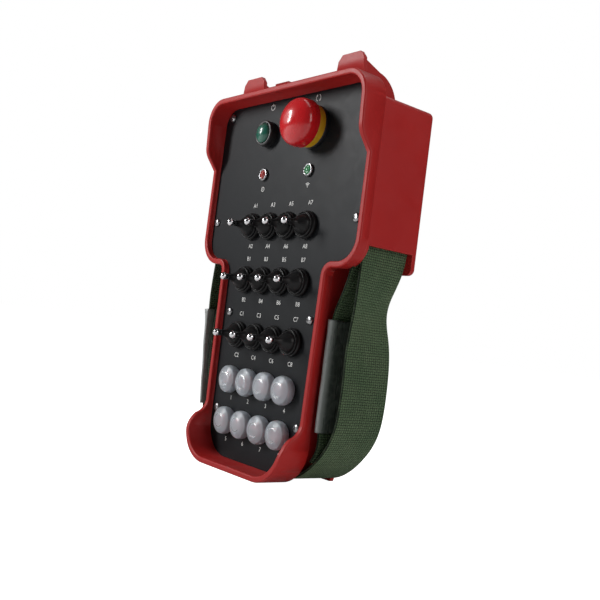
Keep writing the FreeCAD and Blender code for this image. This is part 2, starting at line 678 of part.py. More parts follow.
def battery():
    keep(block("batteryCells", 54, 13.6, 86, 0, 18.5, 65), "battery_pack")
    blank = joined("coverBlank", [
        block("coverPlate", 76, 1.7, 100, 0, 34.2, 65), block("coverLip", 61.4, 2.1, 93.4, 0, 32.4, 65),
    ])
    holes = [rod(f"coverHole{row}", 1.35, "30", "37", *spot) for row, spot in enumerate(coverScrewSpots)]
    holes += [rod(f"coverSink{row}", 2.4, "34.65", "37", *spot) for row, spot in enumerate(coverScrewSpots)]
    keep(carved("batteryCover", blank, holes), "battery_cover")
    screw = turned("coverScrew", [
        ("0", "29"), ("1.25", "29"), ("1.25", "34.7"), ("2.2", "34.7"), ("2.2", "35.8"), ("0", "35.8"),
    ])
    copies("battery_cover_screws", screw, coverScrewSpots)


battery()


def electronics():
    posts = mirrored([(34.0, 19.0), (34.0, 179.0)])
    board = block("controlBoardBlank", 74, 1.6, 170, 0, 14, 99)
    chips = [
        block("mainChip", 14, 1.4, 14, 0, 15.6, 128), block("driverChip", 8, 1.2, 18, -20, 15.6, 132),
        block("headerRow", 30, 1.9, 6, 10, 15.6, 158),
    ]
    holes = [rod(f"boardHole{row}", 1.5, "13", "17", *spot) for row, spot in enumerate(posts)]
    keep(carved("controlBoard", joined("controlBoardSet", [board] + chips), holes), "control_board")
    post = turned("boardPost", [
        ("0", "24"), ("1.45", "24"), ("1.45", "15.7"), ("2.4", "15.7"), ("2.4", "32.95"), ("0", "32.95"),
    ])
    copies("board_standoffs", post, posts)
    screw = turned("boardScrew", [
        ("0", "22"), ("1.4", "22"), ("1.4", "13.95"), ("2.6", "13.95"), ("2.6", "12.4"), ("0", "12.4"),
    ])
    copies("board_screws", screw, posts)
    radio = joined("radioModule", [
        block("radioBoard", 62, 1.6, 48, -38, 31.2, 206), block("radioShield", 44, 5, 32, -38, 26.3, 206),
    ])
    keep(radio, "radio_module")
    whip = doc.addObject("Part::Cylinder", "antennaCoil")
    whip.Radius = 2.5
    whip.Height = 40
    whip.Placement = Placement(Vector(-66, 29, 237.5), Rotation(Vector(0, 1, 0), 90))
    keep(whip, "antenna")


electronics()


# hand loops: points are (x, z) on the middle of the webbing, chosen by hand
rightOuter = [
    (5, 2.6), (20, 2.6), (32, 2.9), (43, 5.6), (52.5, 11.3), (61.5, 19.5), (69.5, 29.5), (74.3, 41),
    (75.9, 56), (75.8, 76), (74.6, 94), (72.4, 109), (73, 121), (76.2, 133), (78.5, 144),
]
rightInner = [
    (71.8, 147), (69.4, 133), (64.8, 121), (60.6, 112.5), (59.5, 105.5), (59.5, 88), (59.5, 71), (59.5, 54),
    (59.5, 38), (60.2, 29), (59, 22.8), (55, 17.4),
]
leftOuter = [
    (-5, 2.6), (-20, 2.6), (-32, 2.9), (-43, 5.6), (-52.5, 11.3), (-61.5, 19), (-68, 25.8),
    (-71.68, 33), (-74.1, 53.5), (-76.05, 70), (-78, 86.5), (-80.42, 107), (-80.8, 118), (-80, 131),
    (-79, 145),
]
leftInner = [
    (-71.6, 147), (-68.7, 136), (-67.3, 126), (-68, 114), (-70, 102), (-71.6, 89), (-71.8, 77), (-70.8, 64),
    (-68.8, 50), (-66.4, 38), (-63, 29.5), (-59.4, 22.9), (-55, 17.4),
]


def bentLine(middle):
    # straight runs joined by tangent arcs, each as large as its two runs allow
    points = [Vector(across, 0, up) for across, up in middle]
    edges = []
    last = points[0]
    for before, corner, after in zip(points, points[1:], points[2:]):
        back = (before - corner).normalize()
        ahead = (after - corner).normalize()
        turn = math.pi - back.getAngle(ahead)
        if turn < 1e-3:
            continue
        trim = 0.45 * min((before - corner).Length, (after - corner).Length)
        first = corner + back * trim
        second = corner + ahead * trim
        radius = trim / math.tan(turn / 2)
        inward = (back + ahead).normalize()
        centre = corner + inward * (radius / math.cos(turn / 2))
        edges.append(Part.makeLine(last, first))
        edges.append(Part.Arc(first, centre - inward * radius, second).toShape())
        last = second
    edges.append(Part.makeLine(last, points[-1]))
    return Part.Wire(edges)


def strap(label, outer, inner, side):
    # one strip: out along the loop, over the bar in the pocket, and back down the inside
    reach = size("barRadius") + size("webThick") / 2 + 0.25
    over = [(side * (size("barX") + reach), size("barZ") + reach),
            (side * (size("barX") - reach), size("barZ") + reach)]
    middle = bentLine(outer + over + inner)
    outline = middle.makeOffset2D(size("webThick") / 2)
    strip = Part.Face(outline)
    print(label, "runs", round(middle.Length), "area over thickness", round(strip.Area / size("webThick")))
    web = doc.addObject("Part::Feature", label)
    web.Shape = strip.extrude(Vector(0, size("webWidth"), 0))
    web.Placement = Placement(Vector(0, size("webY"), 0), Rotation())
    keep(web, label)


def sleeve(label, across, up, tilt):
    # a soft tube of flat section, threaded on one run of the loop
    outside = block(f"{label}Outside", "dims.sleeveThick", "dims.sleeveWidth", 70)
    inside = block(f"{label}Inside", 2.7, "dims.sleeveWidth - 2", 72, back=1)
    tube = carved(f"{label}Tube", outside, [inside])
    start = size("webY") + size("webWidth") / 2 - size("sleeveWidth") / 2
    tube.Placement = Placement(Vector(across, start, up), Rotation(Vector(0, 1, 0), tilt))
    keep(tube, label)


def straps():
    strap("right_strap", rightOuter, rightInner, 1)
    strap("left_strap", leftOuter, leftInner, -1)
    sleeve("right_strap_sleeve", 59.5, 71.5, 0)
    sleeve("left_strap_sleeve", -76.05, 70, math.degrees(math.atan2(-7.8, 66)))
    bars = [rod(f"bar{side}", "dims.barRadius", "-8.8", "33", side * size("barX"), size("barZ"))
            for side in (1, -1)]
    group = doc.addObject("Part::Compound", "strapBars")
    group.Links = bars
    keep(group, "strap_bars")


def strapClamp():
    # a thin plate under the base holds the ends of both straps
    plate = block("clampBlank", 50, 34, 0.9, 0, -5, 0.95)
    tools = []
    screws = []
    for row, (across, along) in enumerate(clampScrewSpots):
        tools.append(doc.addObject("Part::Cylinder", f"clampHole{row}"))
        tools[-1].Radius = 1.5
        tools[-1].Height = 3
        tools[-1].Placement = Placement(Vector(across, along, 0), Rotation())
        shank = Part.makeCylinder(1.25, 5.4, Vector(across, along, 0.3))
        screws.append(Part.makeCylinder(2.6, 0.4, Vector(across, along, 0.08)).fuse(shank))
    keep(carved("clampPlate", plate, tools), "strap_clamp")
    group = doc.addObject("Part::Feature", "clampScrews")
    group.Shape = Part.makeCompound(screws)
    keep(group, "strap_clamp_screws")


straps()
strapClamp()


def check():
    doc.recompute()
    for item in doc.Objects:
        if "Invalid" in item.State or "Error" in item.State:
            raise RuntimeError(f"{item.Name} is in state {item.State}")
    for item in nodes:
        if item.Shape.isNull() or not item.Shape.isValid():
            raise RuntimeError(f"{item.Label} has no sound shape")


check()
os.makedirs("parts", exist_ok=True)
for item in nodes:
    item.Shape.exportStep(f"parts/{item.Label}.step")
    print(item.Label, len(item.Shape.Solids), round(item.Shape.Volume), item.Shape.BoundBox)
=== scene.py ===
import bpy
import bmesh
import json
import math
from mathutils import Matrix, Vector, noise

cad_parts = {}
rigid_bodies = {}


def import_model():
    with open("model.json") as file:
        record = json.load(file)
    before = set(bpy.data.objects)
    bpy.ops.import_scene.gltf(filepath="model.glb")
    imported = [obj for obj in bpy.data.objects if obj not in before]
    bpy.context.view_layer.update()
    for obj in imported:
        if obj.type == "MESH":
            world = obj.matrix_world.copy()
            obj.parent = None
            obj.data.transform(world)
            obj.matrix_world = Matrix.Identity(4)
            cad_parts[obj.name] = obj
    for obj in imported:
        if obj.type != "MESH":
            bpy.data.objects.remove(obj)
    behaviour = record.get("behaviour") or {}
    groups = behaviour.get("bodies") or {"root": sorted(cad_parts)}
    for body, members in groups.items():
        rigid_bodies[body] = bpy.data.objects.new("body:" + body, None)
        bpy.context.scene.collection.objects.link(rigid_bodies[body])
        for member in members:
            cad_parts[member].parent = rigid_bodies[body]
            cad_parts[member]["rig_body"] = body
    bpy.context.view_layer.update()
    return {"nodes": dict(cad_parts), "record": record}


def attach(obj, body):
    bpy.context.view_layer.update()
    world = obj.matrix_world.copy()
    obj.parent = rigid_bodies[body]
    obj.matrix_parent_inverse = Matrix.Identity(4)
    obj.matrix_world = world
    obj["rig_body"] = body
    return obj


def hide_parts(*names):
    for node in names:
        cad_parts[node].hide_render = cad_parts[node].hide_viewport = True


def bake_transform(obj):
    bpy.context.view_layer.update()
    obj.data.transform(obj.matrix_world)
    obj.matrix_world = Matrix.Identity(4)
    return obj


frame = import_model()
scene = bpy.context.scene
mm = 0.001

# hand-held control station; metres, +Z up, the controls face -Y

cameraView = {
    "place": (0.44009, -0.34351, 0.09755), "yaw": 50.921, "pitch": -2.093, "roll": 7.283,
    "lens": 49.33, "sensor": 36.0,
}


def addCamera():
    yaw, pitch, roll = (math.radians(cameraView[key]) for key in ("yaw", "pitch", "roll"))
    back = Vector((math.sin(yaw) * math.cos(pitch), -math.cos(yaw) * math.cos(pitch), math.sin(pitch)))
    level = Vector((math.cos(yaw), math.sin(yaw), 0))
    upright = back.cross(level)
    across = level * math.cos(roll) + upright * math.sin(roll)
    above = upright * math.cos(roll) - level * math.sin(roll)
    data = bpy.data.cameras.new("stationCamera")
    data.lens = cameraView["lens"]
    data.sensor_width = cameraView["sensor"]
    data.clip_start = 0.01
    camera = bpy.data.objects.new("stationCamera", data)
    turn = Matrix((across, above, back)).transposed().to_4x4()
    camera.matrix_world = Matrix.Translation(cameraView["place"]) @ turn
    scene.collection.objects.link(camera)
    scene.camera = camera


addCamera()
print("camera placed")


# shader building

def put(tree, kind, inputs=None, **settings):
    node = tree.nodes.new(kind)
    for key, value in settings.items():
        setattr(node, key, value)
    for key, value in (inputs or {}).items():
        if isinstance(value, bpy.types.NodeSocket):
            tree.links.new(value, node.inputs[key])
        else:
            node.inputs[key].default_value = value
    return node


def compute(tree, operation, *values):
    node = put(tree, "ShaderNodeMath", operation=operation)
    for slot, value in enumerate(values):
        if isinstance(value, bpy.types.NodeSocket):
            tree.links.new(value, node.inputs[slot])
        else:
            node.inputs[slot].default_value = value
    return node.outputs[0]


def mixColor(tree, factor, first, second, kind="MIX"):
    node = put(tree, "ShaderNodeMix", data_type="RGBA", blend_type=kind)
    for slot, value in ((0, factor), (6, first), (7, second)):
        if isinstance(value, bpy.types.NodeSocket):
            tree.links.new(value, node.inputs[slot])
        else:
            node.inputs[slot].default_value = value
    return node.outputs[2]


def spread(tree, value, low, high, start=0.0, end=1.0):
    node = put(tree, "ShaderNodeMapRange", {"Value": value, "From Min": start, "From Max": end,
                                            "To Min": low, "To Max": high})
    return node.outputs[0]


def newGroup(name, inputs, outputs):
    group = bpy.data.node_groups.new(name, "ShaderNodeTree")
    for label, value in inputs:
        kind = "NodeSocketVector" if hasattr(value, "__len__") else "NodeSocketFloat"
        socket = group.interface.new_socket(label, in_out="INPUT", socket_type=kind)
        socket.default_value = value
    for label in outputs:
        group.interface.new_socket(label, in_out="OUTPUT", socket_type="NodeSocketFloat")
    return group, put(group, "NodeGroupInput"), put(group, "NodeGroupOutput")


def mouldGrainGroup():
    # fine spark-eroded grain, with a broad drift of tone
    group, given, made = newGroup("mouldGrain", [("Grain", 2400.0), ("Drift", 22.0)],
                                  ["Height", "Tone", "Smear"])
    place = put(group, "ShaderNodeTexCoord").outputs["Object"]
    fine = put(group, "ShaderNodeTexNoise", {"Vector": place, "Scale": given.outputs["Grain"], "Detail": 3.0})
    broad = put(group, "ShaderNodeTexNoise", {"Vector": place, "Scale": given.outputs["Drift"], "Detail": 2.0})
    palm = compute(group, "MULTIPLY", given.outputs["Drift"], 4.0)
    smear = put(group, "ShaderNodeTexNoise", {"Vector": place, "Scale": palm, "Detail": 4.0, "Distortion": 0.6})
    group.links.new(fine.outputs["Fac"], made.inputs["Height"])
    group.links.new(broad.outputs["Fac"], made.inputs["Tone"])
    group.links.new(spread(group, smear.outputs["Fac"], 0.0, 1.0, 0.42, 0.68), made.inputs["Smear"])
    return group


def edgeRubAndGlintGroup():
    # where a corner is handled and where an edge catches the light: a mask along edges, broken up by noise, that
    # lightens them as rub and as a painted highlight
    group, given, made = newGroup("edgeRubAndGlint", [("Width", 0.0006), ("Breakup", 300.0)], ["Mask"])
    place = put(group, "ShaderNodeTexCoord").outputs["Object"]
    soft = put(group, "ShaderNodeBevel", {"Radius": given.outputs["Width"]}, samples=4)
    plain = put(group, "ShaderNodeNewGeometry")
    along = put(group, "ShaderNodeVectorMath", {0: soft.outputs[0], 1: plain.outputs["Normal"]}, operation="DOT_PRODUCT")
    edge = spread(group, along.outputs["Value"], 1.0, 0.0, 0.86, 0.995)
    patches = put(group, "ShaderNodeTexNoise", {"Vector": place, "Scale": given.outputs["Breakup"], "Detail": 3.0})
    broken = spread(group, patches.outputs["Fac"], 0.25, 1.0, 0.35, 0.62)
    group.links.new(compute(group, "MULTIPLY", edge, broken), made.inputs["Mask"])
    return group


def dustFilmGroup():
    # a thin film on faces that look upwards, thicker in patches
    group, given, made = newGroup("dustFilm", [("Patches", 60.0), ("Amount", 0.3)], ["Mask"])
    place = put(group, "ShaderNodeTexCoord").outputs["Object"]
    facing = put(group, "ShaderNodeSeparateXYZ", {0: put(group, "ShaderNodeNewGeometry").outputs["Normal"]})
    upward = spread(group, facing.outputs["Z"], 0.15, 1.0, 0.0, 1.0)
    cloud = put(group, "ShaderNodeTexNoise", {"Vector": place, "Scale": given.outputs["Patches"], "Detail": 5.0})
    thick = spread(group, cloud.outputs["Fac"], 0.0, 1.0, 0.4, 0.75)
    film = compute(group, "MULTIPLY", upward, thick)
    group.links.new(compute(group, "MULTIPLY", film, given.outputs["Amount"]), made.inputs["Mask"])
    return group


def brushLinesGroup():
    # fine lines along one axis of a metal part
    group, given, made = newGroup("brushLines", [("Stretch", (4000.0, 200.0, 4000.0))], ["Height", "Tone"])
    place = put(group, "ShaderNodeTexCoord").outputs["Object"]
    pulled = put(group, "ShaderNodeVectorMath", {0: place, 1: given.outputs["Stretch"]}, operation="MULTIPLY")
    lines = put(group, "ShaderNodeTexNoise", {"Vector": pulled.outputs[0], "Scale": 1.0, "Detail": 4.0})
    group.links.new(lines.outputs["Fac"], made.inputs["Height"])
    group.links.new(spread(group, lines.outputs["Fac"], 0.0, 1.0, 0.3, 0.7), made.inputs["Tone"])
    return group


def webWeaveGroup():
    # plain weave on the strip's own map: u runs along it and v across it, in metres
    group, given, made = newGroup("webWeave", [("Pick", 0.0016), ("End", 0.0018)], ["Height", "GapShade", "Tone"])
    strip = put(group, "ShaderNodeSeparateXYZ", {0: put(group, "ShaderNodeUVMap", uv_map="strip").outputs[0]})
    waver = put(group, "ShaderNodeTexNoise", {
        "Vector": put(group, "ShaderNodeTexCoord").outputs["Object"], "Scale": 90.0, "Detail": 2.0})
    drift = spread(group, waver.outputs["Fac"], -0.0004, 0.0004)
    waves = []
    for axis, pitch in (("X", "Pick"), ("Y", "End")):
        shifted = compute(group, "ADD", strip.outputs[axis], drift)
        turns = compute(group, "DIVIDE", shifted, given.outputs[pitch])
        waves.append(compute(group, "SINE", compute(group, "MULTIPLY", turns, math.pi)))
    product = compute(group, "MULTIPLY", waves[0], waves[1])
    pillow = compute(group, "POWER", compute(group, "ABSOLUTE", product), 0.45)
    parity = spread(group, product, -0.18, 0.18, -0.3, 0.3)
    fibre = put(group, "ShaderNodeTexNoise", {
        "Vector": put(group, "ShaderNodeTexCoord").outputs["Object"], "Scale": 5200.0, "Detail": 3.0})
    fuzz = compute(group, "MULTIPLY", fibre.outputs["Fac"], 0.3)
    height = compute(group, "ADD", compute(group, "ADD", pillow, parity), fuzz)
    group.links.new(height, made.inputs["Height"])
    # painted shade: the low places between the thread crossings
    group.links.new(spread(group, pillow, 1.0, 0.0, 0.30, 0.80), made.inputs["GapShade"])
    group.links.new(compute(group, "MULTIPLY", waver.outputs["Fac"], fibre.outputs["Fac"]), made.inputs["Tone"])
    return group


groups = {
    "mouldGrain": mouldGrainGroup(), "edgeRubAndGlint": edgeRubAndGlintGroup(), "dustFilm": dustFilmGroup(),
    "brushLines": brushLinesGroup(), "webWeave": webWeaveGroup(),
}


def useGroup(tree, name, **values):
    node = put(tree, "ShaderNodeGroup", node_tree=groups[name])
    for key, value in values.items():
        node.inputs[key].default_value = value
    return node.outputs


def newMaterial(name, **constants):
    material = bpy.data.materials.new(name)
    material.use_nodes = True
    tree = material.node_tree
    shader = tree.nodes["Principled BSDF"]
    for key, value in constants.items():
        shader.inputs[key.replace("_", " ")].default_value = value
    return material, tree, shader


def bump(tree, shader, height, distance, strength=1.0):
    node = put(tree, "ShaderNodeBump", {"Height": height, "Distance": distance, "Strength": strength})
    tree.links.new(node.outputs[0], shader.inputs["Normal"])


# plastics and paints that share grain, edge rub with a painted edge highlight, and dust, each with its own values
mouldedLooks = {
    "redMoulding": {
        # rubAndGlint: the edge colour, partly rub and partly a painted highlight where edges catch the light
        "dark": (0.32, 0.009, 0.009), "light": (0.41, 0.016, 0.014), "rubAndGlint": (0.60, 0.09, 0.075),
        "smooth": 0.38, "rough": 0.46, "grain": 1900.0, "relief": 0.000035, "edge": 0.0009, "dust": 0.05,
        "extra": {"Specular_IOR_Level": 0.28},
    },
    "plateBlack": {
        "dark": (0.007, 0.008, 0.0095), "light": (0.009, 0.0105, 0.0125), "rubAndGlint": (0.06, 0.06, 0.07),
        "smooth": 0.43, "rough": 0.48, "grain": 3600.0, "relief": 0.000012, "edge": 0.0003, "dust": 0.02,
        "extra": {"Specular_IOR_Level": 0.16},
    },
    "bootRubber": {
        "dark": (0.004, 0.004, 0.0045), "light": (0.007, 0.007, 0.0075), "rubAndGlint": (0.03, 0.03, 0.033),
        "smooth": 0.30, "rough": 0.46, "grain": 1500.0, "relief": 0.00003, "edge": 0.0004, "dust": 0.015,
        "extra": {"Specular_IOR_Level": 0.3},
    },
    "switchBlack": {
        "dark": (0.010, 0.010, 0.011), "light": (0.018, 0.018, 0.019), "rubAndGlint": (0.06, 0.06, 0.065),
        "smooth": 0.28, "rough": 0.42, "grain": 2600.0, "relief": 0.00002, "edge": 0.0003, "dust": 0.03,
        "extra": {},
    },
    "stopRed": {
        "dark": (0.50, 0.006, 0.010), "light": (0.62, 0.010, 0.014), "rubAndGlint": (0.72, 0.09, 0.08),
        "smooth": 0.16, "rough": 0.30, "grain": 900.0, "relief": 0.000012, "edge": 0.0005, "dust": 0.04,
        "extra": {"Coat_Weight": 0.4, "Coat_Roughness": 0.14},
    },
    "stopYellow": {
        "dark": (0.62, 0.33, 0.010), "light": (0.76, 0.45, 0.020), "rubAndGlint": (0.85, 0.62, 0.20),
        "smooth": 0.30, "rough": 0.44, "grain": 1800.0, "relief": 0.00002, "edge": 0.0004, "dust": 0.06,
        "extra": {},
    },
    "capGreen": {
        "dark": (0.008, 0.085, 0.058), "light": (0.014, 0.135, 0.09), "rubAndGlint": (0.08, 0.30, 0.22),
        "smooth": 0.16, "rough": 0.30, "grain": 1200.0, "relief": 0.00001, "edge": 0.0004, "dust": 0.03,
        "extra": {"Coat_Weight": 0.5, "Coat_Roughness": 0.12},
    },
    "plungerRed": {
        "dark": (0.52, 0.045, 0.05), "light": (0.66, 0.075, 0.08), "rubAndGlint": (0.80, 0.25, 0.25),
        "smooth": 0.22, "rough": 0.36, "grain": 1800.0, "relief": 0.00001, "edge": 0.0003, "dust": 0.0,
        "extra": {},
    },
    "printWhite": {
        "dark": (0.62, 0.62, 0.60), "light": (0.80, 0.80, 0.78), "rubAndGlint": (0.40, 0.40, 0.40),
        "smooth": 0.42, "rough": 0.60, "grain": 5200.0, "relief": 0.000006, "edge": 0.0001, "dust": 0.0,
        "extra": {},
    },
    "cellWrap": {
        "dark": (0.020, 0.045, 0.16), "light": (0.035, 0.075, 0.25), "rubAndGlint": (0.15, 0.22, 0.40),
        "smooth": 0.20, "rough": 0.34, "grain": 700.0, "relief": 0.00004, "edge": 0.0006, "dust": 0.05,
        "extra": {},
    },
}


def mouldedMaterial(name):
    look = mouldedLooks[name]
    material, tree, shader = newMaterial(name, **look["extra"])
    grain = useGroup(tree, "mouldGrain", Grain=look["grain"])
    rubAndGlint = useGroup(tree, "edgeRubAndGlint", Width=look["edge"])
    dust = useGroup(tree, "dustFilm", Amount=look["dust"])
    body = mixColor(tree, grain["Tone"], (*look["dark"], 1), (*look["light"], 1))
    # edges lightened: partly rub, partly a painted highlight
    rubbedAndGlinting = mixColor(tree, compute(tree, "MULTIPLY", rubAndGlint["Mask"], 0.45), body, (*look["rubAndGlint"], 1))
    dusty = mixColor(tree, dust["Mask"], rubbedAndGlinting, (0.42, 0.39, 0.36, 1))
    tree.links.new(dusty, shader.inputs["Base Color"])
    matt = spread(tree, grain["Smear"], look["rough"], look["smooth"])
    tree.links.new(compute(tree, "ADD", matt, compute(tree, "MULTIPLY", dust["Mask"], 0.4)), shader.inputs["Roughness"])
    bump(tree, shader, grain["Height"], look["relief"])
    return material


# plated and turned metals
metalLooks = {
    "screwSteel": {"dark": (0.28, 0.28, 0.29), "light": (0.48, 0.48, 0.49), "smooth": 0.24, "rough": 0.42,
                   "stretch": (2600.0, 2600.0, 900.0), "relief": 0.000012, "grime": 0.55},
    "clampSteel": {"dark": (0.30, 0.30, 0.31), "light": (0.52, 0.52, 0.53), "smooth": 0.28, "rough": 0.48,
                   "stretch": (300.0, 5000.0, 5000.0), "relief": 0.00002, "grime": 0.5},
    "leverChrome": {"dark": (0.72, 0.72, 0.74), "light": (0.86, 0.86, 0.88), "smooth": 0.05, "rough": 0.14,
                    "stretch": (900.0, 900.0, 900.0), "relief": 0.000003, "grime": 0.15},
    "shieldTin": {"dark": (0.50, 0.50, 0.51), "light": (0.70, 0.70, 0.71), "smooth": 0.25, "rough": 0.42,
                  "stretch": (500.0, 4000.0, 4000.0), "relief": 0.00001, "grime": 0.3},
    "plainBrass": {"dark": (0.46, 0.30, 0.09), "light": (0.72, 0.52, 0.20), "smooth": 0.20, "rough": 0.40,
                   "stretch": (4000.0, 300.0, 4000.0), "relief": 0.00001, "grime": 0.3},
}


def metalMaterial(name):
    look = metalLooks[name]
    material, tree, shader = newMaterial(name, Metallic=1.0)
    lines = useGroup(tree, "brushLines", Stretch=look["stretch"])
    grain = useGroup(tree, "mouldGrain", Grain=1400.0, Drift=60.0)
    tint = mixColor(tree, lines["Tone"], (*look["dark"], 1), (*look["light"], 1))
    grime = compute(tree, "MULTIPLY", grain["Smear"], look["grime"])
    dirty = mixColor(tree, compute(tree, "MULTIPLY", grime, 0.5), tint, (0.10, 0.09, 0.08, 1))
    tree.links.new(dirty, shader.inputs["Base Color"])
    tree.links.new(spread(tree, grime, look["smooth"], look["rough"]), shader.inputs["Roughness"])
    bump(tree, shader, lines["Height"], look["relief"])
    return material


webLook = {
    # gapShade: painted shade for the gaps between threads
    "thread": (0.045, 0.086, 0.037), "pale": (0.088, 0.136, 0.066), "gapShade": (0.003, 0.008, 0.003),
    "relief": 0.0006,
}


def webbingMaterial():
    material, tree, shader = newMaterial("webbingGreen", Sheen_Weight=0.35, Sheen_Roughness=0.4)
    shader.inputs["Sheen Tint"].default_value = (0.55, 0.75, 0.45, 1)
    shader.inputs["Specular IOR Level"].default_value = 0.25
    weave = useGroup(tree, "webWeave")
    wear = useGroup(tree, "mouldGrain", Grain=1200.0, Drift=14.0)
    thread = mixColor(tree, spread(tree, weave["Tone"], 0.0, 1.0, 0.1, 0.4), (*webLook["thread"], 1), (*webLook["pale"], 1))
    faded = mixColor(tree, compute(tree, "MULTIPLY", wear["Smear"], 0.25), thread, (0.15, 0.18, 0.10, 1))
    # painted shade: the gaps between threads are darkened nearly to black
    tree.links.new(mixColor(tree, weave["GapShade"], faded, (*webLook["gapShade"], 1)), shader.inputs["Base Color"])
    tree.links.new(spread(tree, weave["Height"], 0.95, 0.7), shader.inputs["Roughness"])
    bump(tree, shader, weave["Height"], webLook["relief"])
    return material


siliconeLook = {"tint": (0.74, 0.80, 0.87), "cloud": (0.86, 0.90, 0.94), "relief": 0.000004}


def siliconeMaterial():
    # frosted silicone: the plunger shows through it softly
    material, tree, shader = newMaterial("coverSilicone", Transmission_Weight=0.74, IOR=1.38)
    grain = useGroup(tree, "mouldGrain", Grain=1600.0, Drift=120.0)
    dust = useGroup(tree, "dustFilm", Amount=0.15, Patches=240.0)
    tint = mixColor(tree, grain["Tone"], (*siliconeLook["tint"], 1), (*siliconeLook["cloud"], 1))
    tree.links.new(mixColor(tree, dust["Mask"], tint, (0.62, 0.60, 0.57, 1)), shader.inputs["Base Color"])
    tree.links.new(spread(tree, grain["Smear"], 0.32, 0.42), shader.inputs["Roughness"])
    bump(tree, shader, grain["Height"], siliconeLook["relief"])
    return material


# paintedFrontHighlight is a painted highlight on the sleeve's front edge
vinylLook = {"clear": (0.035, 0.042, 0.038), "milky": (0.10, 0.115, 0.105), "paintedFrontHighlight": (0.36, 0.38, 0.37),
             "relief": 0.0004}


def vinylMaterial():
    # soft translucent vinyl, creased along its length, with a painted highlight along its front edge
    material, tree, shader = newMaterial("sleeveVinyl", Transmission_Weight=0.2, IOR=1.45, Coat_Weight=0.35, Coat_Roughness=0.16)
    place = put(tree, "ShaderNodeTexCoord").outputs["Object"]
    pulled = put(tree, "ShaderNodeMapping", {"Vector": place, "Scale": (260.0, 260.0, 26.0)})
    creases = put(tree, "ShaderNodeTexNoise", {"Vector": pulled.outputs[0], "Scale": 1.0, "Detail": 3.0})
    grain = useGroup(tree, "mouldGrain", Grain=1500.0, Drift=50.0)
    tint = mixColor(tree, grain["Tone"], (*vinylLook["clear"], 1), (*vinylLook["milky"], 1))
    scuffed = mixColor(tree, compute(tree, "MULTIPLY", grain["Smear"], 0.3), tint, (0.24, 0.26, 0.25, 1))
    depth = put(tree, "ShaderNodeSeparateXYZ", {0: place}).outputs["Y"]
    # painted highlight: colour grows lighter towards the front edge (y from -3.5 mm to -9.5 mm), as if that edge caught
    # the light
    paintedFrontHighlight = spread(tree, depth, 1.0, 0.0, -0.0095, -0.0035)
    tree.links.new(mixColor(tree, paintedFrontHighlight, scuffed, (*vinylLook["paintedFrontHighlight"], 1)), shader.inputs["Base Color"])
    tree.links.new(spread(tree, creases.outputs["Fac"], 0.16, 0.42), shader.inputs["Roughness"])
    bump(tree, shader, creases.outputs["Fac"], vinylLook["relief"])
    return material


lensLooks = {"lampRed": ((0.55, 0.03, 0.03), (0.70, 0.12, 0.10)), "lampGreen": ((0.02, 0.36, 0.12), (0.20, 0.62, 0.32))}


def lensMaterial(name):
    deep, bright = lensLooks[name]
    material, tree, shader = newMaterial(name, Transmission_Weight=0.5, IOR=1.49, Coat_Weight=0.3)
    grain = useGroup(tree, "mouldGrain", Grain=2200.0, Drift=70.0)
    tree.links.new(mixColor(tree, grain["Tone"], (*deep, 1), (*bright, 1)), shader.inputs["Base Color"])
    tree.links.new(spread(tree, grain["Smear"], 0.12, 0.22), shader.inputs["Roughness"])
    bump(tree, shader, grain["Height"], 0.00001)
    return material


boardLook = {"mask": (0.010, 0.085, 0.030), "copper": (0.030, 0.17, 0.06), "track": 420.0}


def boardMaterial():
    # green mask over copper tracks, in a brick-like net
    material, tree, shader = newMaterial("boardGreen", Coat_Weight=0.3)
    place = put(tree, "ShaderNodeTexCoord").outputs["Object"]
    flat = put(tree, "ShaderNodeMapping", {"Vector": place, "Rotation": (math.pi / 2, 0, 0)})
    net = put(tree, "ShaderNodeTexBrick", {
        "Vector": flat.outputs[0], "Scale": boardLook["track"], "Mortar Size": 0.06,
        "Color1": (0, 0, 0, 1), "Color2": (0.15, 0.15, 0.15, 1), "Mortar": (1, 1, 1, 1)})
    grain = useGroup(tree, "mouldGrain", Grain=1500.0)
    trackMask = compute(tree, "MULTIPLY", net.outputs["Color"], grain["Smear"])
    tree.links.new(mixColor(tree, trackMask, (*boardLook["mask"], 1), (*boardLook["copper"], 1)), shader.inputs["Base Color"])
    tree.links.new(spread(tree, grain["Tone"], 0.22, 0.4), shader.inputs["Roughness"])
    bump(tree, shader, trackMask, 0.00003)
    return material


def floorMaterial():
    # white paper: bright to the eye, so that it runs into the backdrop
    material, tree, shader = newMaterial("floorPale")
    shader.inputs["Emission Color"].default_value = (1, 1, 1, 1)
    seen = put(tree, "ShaderNodeLightPath").outputs["Is Camera Ray"]
    tree.links.new(compute(tree, "MULTIPLY", seen, studio["paper"]), shader.inputs["Emission Strength"])
    grain = useGroup(tree, "mouldGrain", Grain=300.0, Drift=3.0)
    tree.links.new(mixColor(tree, grain["Tone"], (0.86, 0.86, 0.86, 1), (0.90, 0.90, 0.90, 1)), shader.inputs["Base Color"])
    tree.links.new(spread(tree, grain["Smear"], 0.75, 0.85), shader.inputs["Roughness"])
    return material


